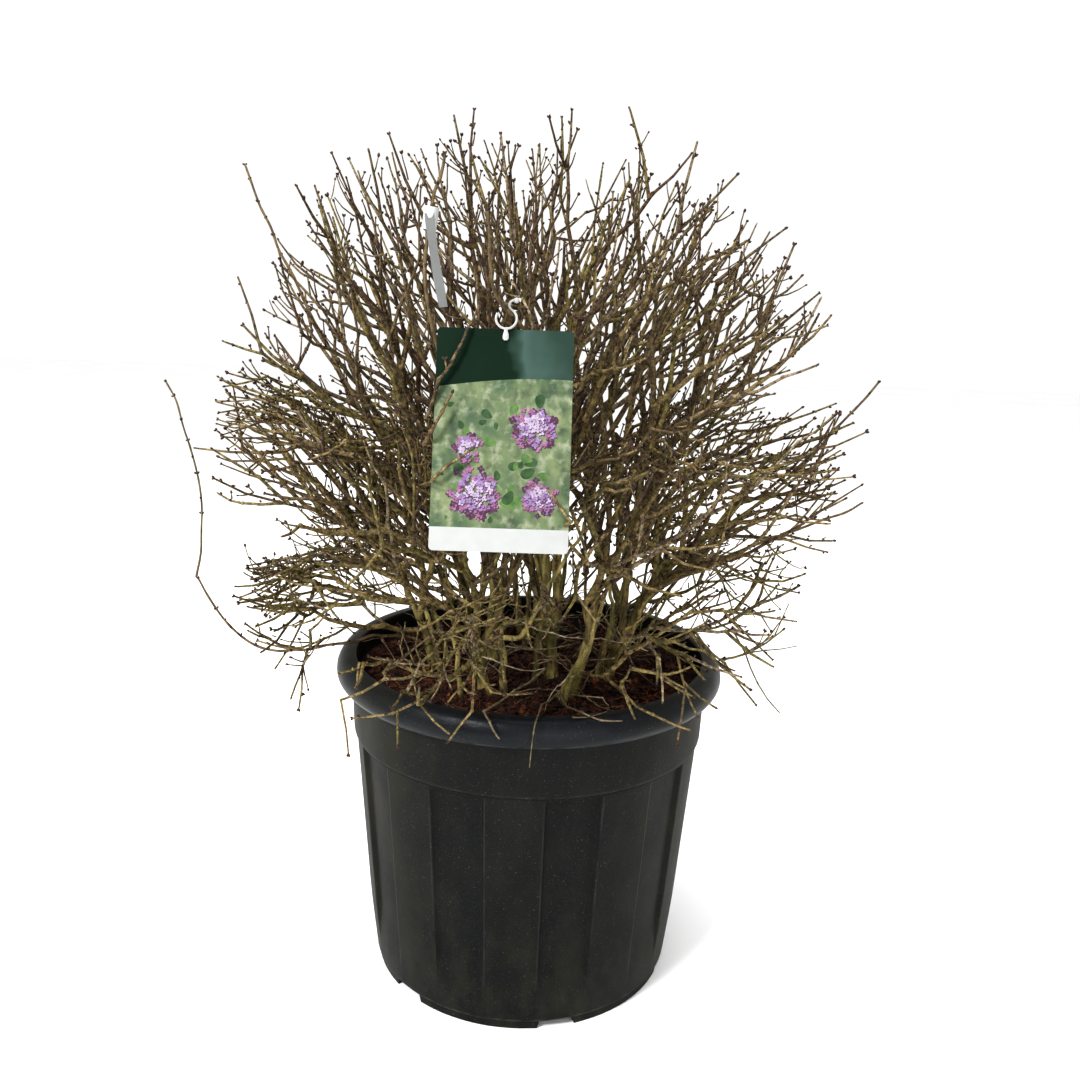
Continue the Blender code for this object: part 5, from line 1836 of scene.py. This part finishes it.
def cut_notches(pot):
    """The drain notches through the foot ring."""
    half_width = FOOT_RADIUS * math.radians(NOTCH_ANGLE) / 2
    group = bpy.data.collections.new("notches")
    for i in range(NOTCHES):
        angle = NOTCH_FIRST_ANGLE + 360.0 / NOTCHES * i
        shape = bmesh.new()
        bmesh.ops.create_cube(shape, size=1.0)
        place = Matrix.Translation(around(angle, FOOT_RADIUS - FOOT_WIDTH / 2, 0.0))
        turn = Matrix.Rotation(math.radians(angle), 4, "Z")
        size = Matrix.Diagonal((2 * half_width, FOOT_WIDTH * 2.4, 2 * (FOOT_HEIGHT - 0.0012), 1.0))
        for corner in shape.verts:
            corner.co.x *= 1.0 - 0.24 * corner.co.z
        bmesh.ops.transform(shape, matrix=place @ turn @ size, verts=shape.verts)
        mesh = bpy.data.meshes.new("notch")
        shape.to_mesh(mesh)
        shape.free()
        group.objects.link(bpy.data.objects.new("notch", mesh))
    boolean = pot.modifiers.new("Notches", "BOOLEAN")
    boolean.operation = "DIFFERENCE"
    boolean.operand_type = "COLLECTION"
    boolean.collection = group
    boolean.solver = "MANIFOLD"
    bpy.context.view_layer.update()
    evaluated = pot.evaluated_get(bpy.context.evaluated_depsgraph_get())
    cut = bpy.data.meshes.new_from_object(evaluated)
    pot.modifiers.remove(boolean)
    pot.data = cut
    for cutter in list(group.objects):
        bpy.data.objects.remove(cutter)
    bpy.data.collections.remove(group)


# Compost
def compost_height(x, y):
    """The height of the crumbly surface: mounds, crumbs, and a low margin along the pot's wall."""
    relief = (noise.noise(Vector((x * waves, y * waves, cut))) * height for waves, cut, height in RELIEF)
    near_wall = (math.hypot(x, y) - SOIL_FLAT_RADIUS) / (LIP_INNER_RADIUS - SOIL_FLAT_RADIUS)
    return sum(relief, RELIEF_BASE) - MARGIN_DROP * max(0.0, near_wall) ** 2


def wall_at(height):
    """The radius that the compost fills at this height, just inside the pot's wall."""
    slope = (LIP_INNER_RADIUS - COLLAR_RADIUS + WALL) / (LIP_TOP - COLLAR_BOTTOM)
    return COLLAR_RADIUS - WALL - CLEAR + slope * (height - COLLAR_BOTTOM)


def make_compost():
    """The root ball with its crumbly top, and the fibres, flakes and straws that lie on it."""
    dark, light = (0.005, 0.002, 0.0015), (0.040, 0.0125, 0.006)
    body = Shape("compost_crumbs", [speckled("compost", dark, light, 190.0, 0.95, 0.9, 6.0)])
    rim = wall_at(SOIL - 0.008)
    turns = np.arange(CRUMB_SPOKES) * math.tau / CRUMB_SPOKES
    points = []
    for ring in range(CRUMB_RINGS):
        radius = rim * (1.0 - (ring / CRUMB_RINGS) ** 1.25)
        for turn in turns:
            x, y = on_circle(radius, turn)
            points.append((x, y, compost_height(x, y)))
    bottom = FOOT_HEIGHT + 0.0065
    walls = ((FOOT_RADIUS, bottom), (BODY_LOW_RADIUS, BODY_LOW), (COLLAR_RADIUS, COLLAR_BOTTOM))
    skirt = [(*on_circle(radius - WALL - CLEAR, turn), height) for radius, height in walls for turn in turns]
    quads, tip = tube_faces(CRUMB_RINGS + len(walls), CRUMB_SPOKES)
    low = len(skirt) + len(points) + 1
    under = [((i + 1) % CRUMB_SPOKES, i, low) for i in range(CRUMB_SPOKES)]
    middle = [(0.0, 0.0, compost_height(0.0, 0.0)), (0.0, 0.0, bottom)]
    body.add(np.array(skirt + points + middle), quads, np.vstack([tip, under]))
    piece = body.make()
    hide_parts("compost")
    settle(piece, "compost")
    scatter_fibres()
    scatter_flakes()


def place_on_compost(chance, reach):
    """A random place on the compost, as x and y."""
    radius = reach * math.sqrt(chance.random())
    return on_circle(radius, chance.uniform(0.0, math.tau))


def lying_path(chance, length, pieces, lift, reach):
    """A bent path that lies over the compost."""
    x, y = place_on_compost(chance, reach - 0.004)
    heading = chance.uniform(0.0, math.tau)
    bend = chance.uniform(-0.55, 0.55)
    rise = chance.uniform(0.0, lift)
    tilt = chance.uniform(-0.5, 1.0) * lift
    points = []
    for i in range(pieces + 1):
        if math.hypot(x, y) > reach:
            break
        share = i / pieces
        height = compost_height(x, y) + 0.0004 + rise * math.sin(math.pi * share) + tilt * share
        points.append((x, y, height))
        heading += bend + chance.uniform(-0.3, 0.3)
        x += math.cos(heading) * length / pieces
        y += math.sin(heading) * length / pieces
    return points


def scatter_fibres():
    """Coir and bark fibres in browns and orange-browns, with a few pale straws."""
    chance = random.Random("fibres")
    shape = Shape("compost_fibres", [speckled(name, *shades) for name, shades in FIBRE_SHADES.items()])
    reach = wall_at(SOIL) - 0.0015
    for i in range(FIBRES + STRAWS):
        straw = i >= FIBRES
        length = chance.uniform(*(STRAW_LENGTH if straw else FIBRE_LENGTH))
        path = lying_path(chance, length, 4, 0.004, reach)
        if len(path) < 3:
            continue
        radius = chance.uniform(*FIBRE_RADIUS)
        finish = 3 if straw else chance.choices((0, 1, 2, 3), (30, 40, 22, 4))[0]
        shape.add(*tube(path, tapered(radius, radius * 0.6, len(path) - 1), 3, 1.0), finish)
    settle(shape.make(), "compost")


def scatter_flakes():
    """Chips and flakes of bark, each a crooked slab that lies at its own tilt."""
    chance = random.Random("flakes")
    shape = Shape("compost_flakes", [speckled(name, *shades, 0.7) for name, shades in FLAKE_SHADES.items()])
    corners = np.array([(x, y, z) for z in (-1, 1) for x, y in ((-1, -1), (1, -1), (1, 1), (-1, 1))], float)
    quads = [(3, 2, 1, 0), (4, 5, 6, 7), (0, 1, 5, 4), (1, 2, 6, 5), (2, 3, 7, 6), (3, 0, 4, 7)]
    reach = wall_at(SOIL) - 0.007
    for _ in range(FLAKES):
        x, y = place_on_compost(chance, reach)
        size = np.array([chance.uniform(*ends) for ends in FLAKE_SIZES])
        crooked = corners * (1 + np.array([[chance.uniform(-0.3, 0.3) for _ in range(3)] for _ in range(8)]))
        turn = Matrix.Rotation(chance.uniform(0.0, math.tau), 3, "Z")
        tilt, roll = (Matrix.Rotation(chance.uniform(-0.6, 0.6), 3, axis) for axis in "XY")
        points = (crooked * size) @ np.array(turn @ (tilt @ roll)).T
        points += (x, y, compost_height(x, y) + chance.uniform(0.0, 0.0022))
        shape.add(points, quads, [], chance.choices((0, 1, 2), (38, 42, 20))[0])
    settle(shape.make(20), "compost")


# Label
class Print:
    """Flat shapes of ink on the card's face, each laid a hair over the last."""

    def __init__(self, shape):
        self.shape = shape
        self.layer = 0

    def lay(self, outline, finish):
        """A filled outline, seen from the front, that is convex or starlike round its middle."""
        self.layer += 1
        points = [(x, CARD_FRONT - INK_STEP * self.layer, z) for x, z in outline]
        middle = np.mean(np.array(points), axis=0)
        count = len(points)
        fan = [(i, (i + 1) % count, count) for i in range(count)]
        self.shape.add(np.vstack([points, middle]), [], fan, finish)


def blossom(x, z, size, turn):
    """The outline of a small flower with four rounded petals."""
    outline = []
    for i in range(24):
        angle = math.tau * i / 24
        radius = size * (0.36 + 0.64 * abs(math.cos(2.0 * (angle - turn))) ** 0.7)
        outline.append((x + radius * math.cos(angle), z + radius * math.sin(angle)))
    return outline


def leaf(x, z, size, turn):
    """The outline of a broad leaf with a drawn-out tip."""
    outline = []
    for i in range(22):
        angle = math.tau * i / 22
        along = size * (0.5 - 0.5 * math.cos(angle)) * 1.9
        wide = size * 0.62 * math.sin(angle) * (1.0 - 0.32 * math.cos(angle + 0.5))
        outline.append((x + along * math.cos(turn) - wide * math.sin(turn),
                        z + along * math.sin(turn) + wide * math.cos(turn)))
    return outline


def card_outline(low=-0.5):
    """The card's outline, from this share of its height to its top, with its own corners round."""
    half_width, top, bottom = CARD_WIDTH / 2, CARD_HEIGHT / 2, CARD_HEIGHT * low
    outline = []
    corners = ((half_width, top), (-half_width, top), (-half_width, bottom), (half_width, bottom))
    for number, (x, z) in enumerate(corners):
        if z == bottom and low > -0.5:
            outline.append((x, z))
            continue
        for step in range(7):
            turn = math.radians(90 * number + 15 * step)
            outline.append((x - math.copysign(CARD_CORNER, x) + CARD_CORNER * math.cos(turn),
                            z - math.copysign(CARD_CORNER, z) + CARD_CORNER * math.sin(turn)))
    return outline


def make_label():
    """The hanging card: a green header with a painted reflection over heads of blossom, and a bare white
    foot.
    """
    inks = {
        "card": white_plastic("card_white", (0.305, 0.310, 0.305), 0.03, 0.45),
        "header": header_finish(),
        "garden": garden_finish(),
    }
    inks |= {name: print_finish("print_" + name, *shades) for name, shades in PRINT_SHADES.items()}
    number = {name: i for i, name in enumerate(inks)}
    shape = Shape("picture_label", list(inks.values()))
    outline = card_outline()
    count = len(outline)
    front = [(x, CARD_FRONT, z) for x, z in outline]
    back = [(x, CARD_THICK / 2, z) for x, z in outline]
    middle = [(0.0, CARD_FRONT, 0.0), (0.0, CARD_THICK / 2, 0.0)]
    fans = [(i, (i + 1) % count, 2 * count) for i in range(count)]
    fans += [(count + (i + 1) % count, count + i, 2 * count + 1) for i in range(count)]
    sides = [(i, count + i, count + (i + 1) % count, (i + 1) % count) for i in range(count)]
    shape.add(np.array(front + back + middle), sides, fans, number["card"])
    ink = Print(shape)
    ink.lay(card_outline(WHITE_FOOT - 0.5), number["garden"])
    draw_blossom(ink, number)
    ink.lay(header_outline(), number["header"])
    piece = shape.make(30)
    piece.matrix_world = card_frame()
    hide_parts("label_card")
    settle(piece, "label")


def header_outline():
    """The header's outline, with a lower edge that rises in an arch towards the right."""
    top = card_outline(0.2)[:-2]
    low = CARD_HEIGHT * (0.5 - HEADER_LOW)
    arch = []
    for i in range(13):
        share = i / 12
        arch.append((CARD_WIDTH * (share - 0.5), low + HEADER_ARCH * math.sin(math.pi * 0.62 * share)))
    return top + arch


def draw_blossom(ink, number):
    """Rounded heads of small flowers, dark at their rims and pale in front, with leaves between them."""
    chance = random.Random("blossom")
    low, high = CARD_HEIGHT * (WHITE_FOOT - 0.5) + 0.006, CARD_HEIGHT * (0.5 - HEADER_LOW) - 0.004
    for _ in range(PRINT_LEAVES):
        x = chance.uniform(-0.052, 0.045)
        z = chance.uniform(low, high - 0.01)
        size = min(chance.uniform(*PRINT_LEAF), PRINT_EDGE - abs(x))
        shade = "leaf_dark" if chance.random() < 0.65 else "leaf_light"
        ink.lay(leaf(x, z, size * 0.5, chance.uniform(0.0, math.tau)), number[shade])
    ground = ink.layer
    for centre_x, centre_z, reach, flowers in BLOSSOM_HEADS:
        ink.layer = ground
        for i in range(flowers):
            out = reach * math.sqrt(1.0 - i / flowers) * chance.uniform(0.75, 1.1)
            turn = chance.uniform(0.0, math.tau)
            x, z = centre_x + out * math.cos(turn), centre_z + out * math.sin(turn)
            size = chance.uniform(*PRINT_FLOWER)
            if abs(x) > CARD_WIDTH / 2 - size - 0.001 or not low < z < high:
                continue
            front = i / flowers + chance.uniform(-0.3, 0.3)
            shade = next(name for name, limit in PETAL_SHADES if front < limit)
            ink.lay(blossom(x + 0.0004, z - 0.0006, size, turn), number["plum"])
            ink.lay(blossom(x, z, size * 0.90, turn), number[shade])
            ink.lay(blossom(x, z, size * 0.20, turn), number["heart"])


# Hook
def make_hook():
    """The milky hook: a flat clip over the card's edge, an open ring and a curl that ends in a ball."""
    middle, outwards = hook_ring()
    curl_middle = middle + outwards * (HOOK_RING + HOOK_CURL)
    route = arc(middle, HOOK_RING, 150, 360 + HOOK_END_ANGLE, 40)
    route += arc(curl_middle, HOOK_CURL, HOOK_END_ANGLE + 180, 75, 14)[1:]
    shape = Shape("hook", [white_plastic("milky_plastic", (0.34, 0.34, 0.33), 0.25)])
    shape.add(*tube(route, [HOOK_WIRE] * len(route), HOOK_SIDES))
    low = Vector((0.0, middle.y, CARD_HEIGHT / 2 - CLIP_REACH))
    high = Vector((0.0, middle.y, CARD_HEIGHT / 2 + HOOK_WIRE))
    points, quads, tip = tube([low.lerp(high, share) for share in CLIP_PLACES], CLIP_HALVES, HOOK_SIDES, 0.0)
    points[:, 1] = middle.y + (points[:, 1] - middle.y) * CLIP_FLATNESS
    foot = [(i, i + 1, 0) for i in range(1, HOOK_SIDES - 1)]
    shape.add(points, quads, np.vstack([tip, foot]))
    piece = shape.make(60)
    add_ball(piece, route[-1])
    piece.matrix_world = card_frame()
    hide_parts("label_hook")
    settle(piece, "hook")


def add_ball(piece, centre):
    """A ball on the end of the hook's curl, in the same piece."""
    shape = bmesh.new()
    shape.from_mesh(piece.data)
    bmesh.ops.create_icosphere(shape, subdivisions=3, radius=HOOK_BALL, matrix=Matrix.Translation(centre))
    shape.to_mesh(piece.data)
    shape.free()
    piece.data.shade_smooth()


# Strap tag
def make_tag():
    """The white strap: wound in a roll round its shoot, with a thin free end that hangs and twists, coloured
    darker than the roll as painted shade.
    """
    middle, along = TAG_SEAT, TAG_HEADING.normalized()
    # The free end is the roll's plastic coloured darker: painted shade.
    finishes = [
        white_plastic("strap_roll", (0.42, 0.43, 0.43), 0.10, 0.5),
        white_plastic("strap_tail", (0.135, 0.140, 0.136), 0.15, 0.45),
    ]
    shape = Shape("strap", finishes)
    across = along.orthogonal().normalized()
    other = along.cross(across)
    spiral = []
    for i in range(TAG_STEPS + 1):
        share = i / TAG_STEPS
        reach = SEAT_RADIUS + TAG_GAP + (TAG_ROLL_RADIUS - SEAT_RADIUS - TAG_GAP) * share
        spiral.append(middle + leaned(across, other, math.tau * TAG_TURNS * share) * reach)
    half = along * TAG_ROLL_HEIGHT / 2
    draw_strip(shape, spiral, [half] * len(spiral), TAG_TAIL_THICK / 2, 0)
    tail, halves = [], []
    for i in range(TAIL_STEPS + 1):
        down = i / TAIL_STEPS
        x = TAIL_DRIFT * down**1.2
        y = -TAG_ROLL_RADIUS + 0.0012 - TAIL_BOW * math.sin(math.pi * down)
        z = TAG_ROLL_HEIGHT * 0.2 - TAG_TAIL_LENGTH * down
        tail.append(middle + Vector((x, y, z)))
        twist = 0.55 * math.sin(math.pi * 1.3 * down)
        halves.append(Vector((math.cos(twist), math.sin(twist) * 0.6, 0.12)) * TAG_TAIL_WIDTH / 2)
    draw_strip(shape, tail, halves, TAG_TAIL_THICK / 2, 1)
    piece = shape.make(50)
    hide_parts("strap_tag")
    settle(piece, "strap")


def draw_strip(shape, path, halves, thick, finish):
    """A flat strip along a path, as wide at each point as the half-width to each side says."""
    points = []
    for i, (point, half) in enumerate(zip(path, halves)):
        along = path[min(i + 1, len(path) - 1)] - path[max(i - 1, 0)]
        out = along.cross(half).normalized() * thick
        points += [point - half - out, point + half - out, point + half + out, point - half + out]
    quads, _ = tube_faces(len(path), 4)
    last = 4 * (len(path) - 1)
    ends = [(3, 2, 1, 0), (last, last + 1, last + 2, last + 3)]
    shape.add(np.array(points), np.vstack([quads, ends]), [], finish)


# Stage
def settle(piece, slot):
    """The piece rides on the part's one body. The slot argument is not used."""
    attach(piece, "root")


def make_stage():
    """A wide pale floor, a white surround and soft lights, the strongest high on the left in front."""
    shape = Shape("floor", [speckled("floor", (0.92, 0.92, 0.92), (0.95, 0.95, 0.95), 3.0, 0.9, 0.02)])
    corners = ((-1, -1), (1, -1), (1, 1), (-1, 1))
    shape.add([(x * FLOOR_HALF, y * FLOOR_HALF, 0.0) for x, y in corners], [(0, 1, 2, 3)], [])
    shape.make()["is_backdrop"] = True
    world = bpy.data.worlds.new("surround")
    world.use_nodes = True
    world.node_tree.nodes["Background"].inputs["Color"].default_value = (1.0, 1.0, 1.0, 1.0)
    world.node_tree.nodes["Background"].inputs["Strength"].default_value = SURROUND
    bpy.context.scene.world = world
    for name, place, size, power in LIGHTS:
        light = bpy.data.lights.new(name, "AREA")
        light.shape = "DISK"
        light.size = size
        light.energy = power
        made = bpy.data.objects.new(name, light)
        made.location = place
        made.rotation_euler = (LIGHT_TARGET - Vector(place)).to_track_quat("-Z", "Y").to_euler()
        bpy.context.scene.collection.objects.link(made)
    bpy.context.scene.view_settings.view_transform = "Standard"
    bpy.context.scene.view_settings.look = "High Contrast"


def make_camera():
    """The photograph's viewing angle, from the height of the crown's upper half and looking down."""
    down, turn, roll = (math.radians(value) for value in (CAMERA_DOWN, CAMERA_TURN, CAMERA_ROLL))
    right = Vector((math.cos(turn), -math.sin(turn), 0.0))
    ahead = Vector((math.sin(turn) * math.cos(down), math.cos(turn) * math.cos(down), -math.sin(down)))
    up = right.cross(ahead)
    place = Matrix((leaned(right, up, roll), leaned(up, -right, roll), -ahead)).transposed().to_4x4()
    place.translation = CAMERA_PLACE
    lens = bpy.data.cameras.new("camera")
    lens.sensor_fit = "HORIZONTAL"
    lens.sensor_width = SENSOR
    lens.lens = LENS
    camera = bpy.data.objects.new("camera", lens)
    camera.matrix_world = place
    bpy.context.scene.collection.objects.link(camera)
    bpy.context.scene.camera = camera


def main():
    for old in list(bpy.data.objects):
        bpy.data.objects.remove(old)
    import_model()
    solid_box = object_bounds()
    make_camera()
    make_stage()
    make_pot()
    make_compost()
    limbs = make_limbs()
    masses = plan_masses(limbs)
    surroundings = Surroundings(masses, limbs, solid_box)
    make_stems_and_boughs(limbs, surroundings)
    make_crown(limbs, masses, surroundings)
    make_shoot_growth(limbs, surroundings)
    make_dry_twigs(limbs)
    make_label()
    make_hook()
    make_tag()
    boxes = {"solids": solid_box, "dressed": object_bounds()}
    {name: [list(corner) for corner in box] for name, box in boxes.items()}


main()
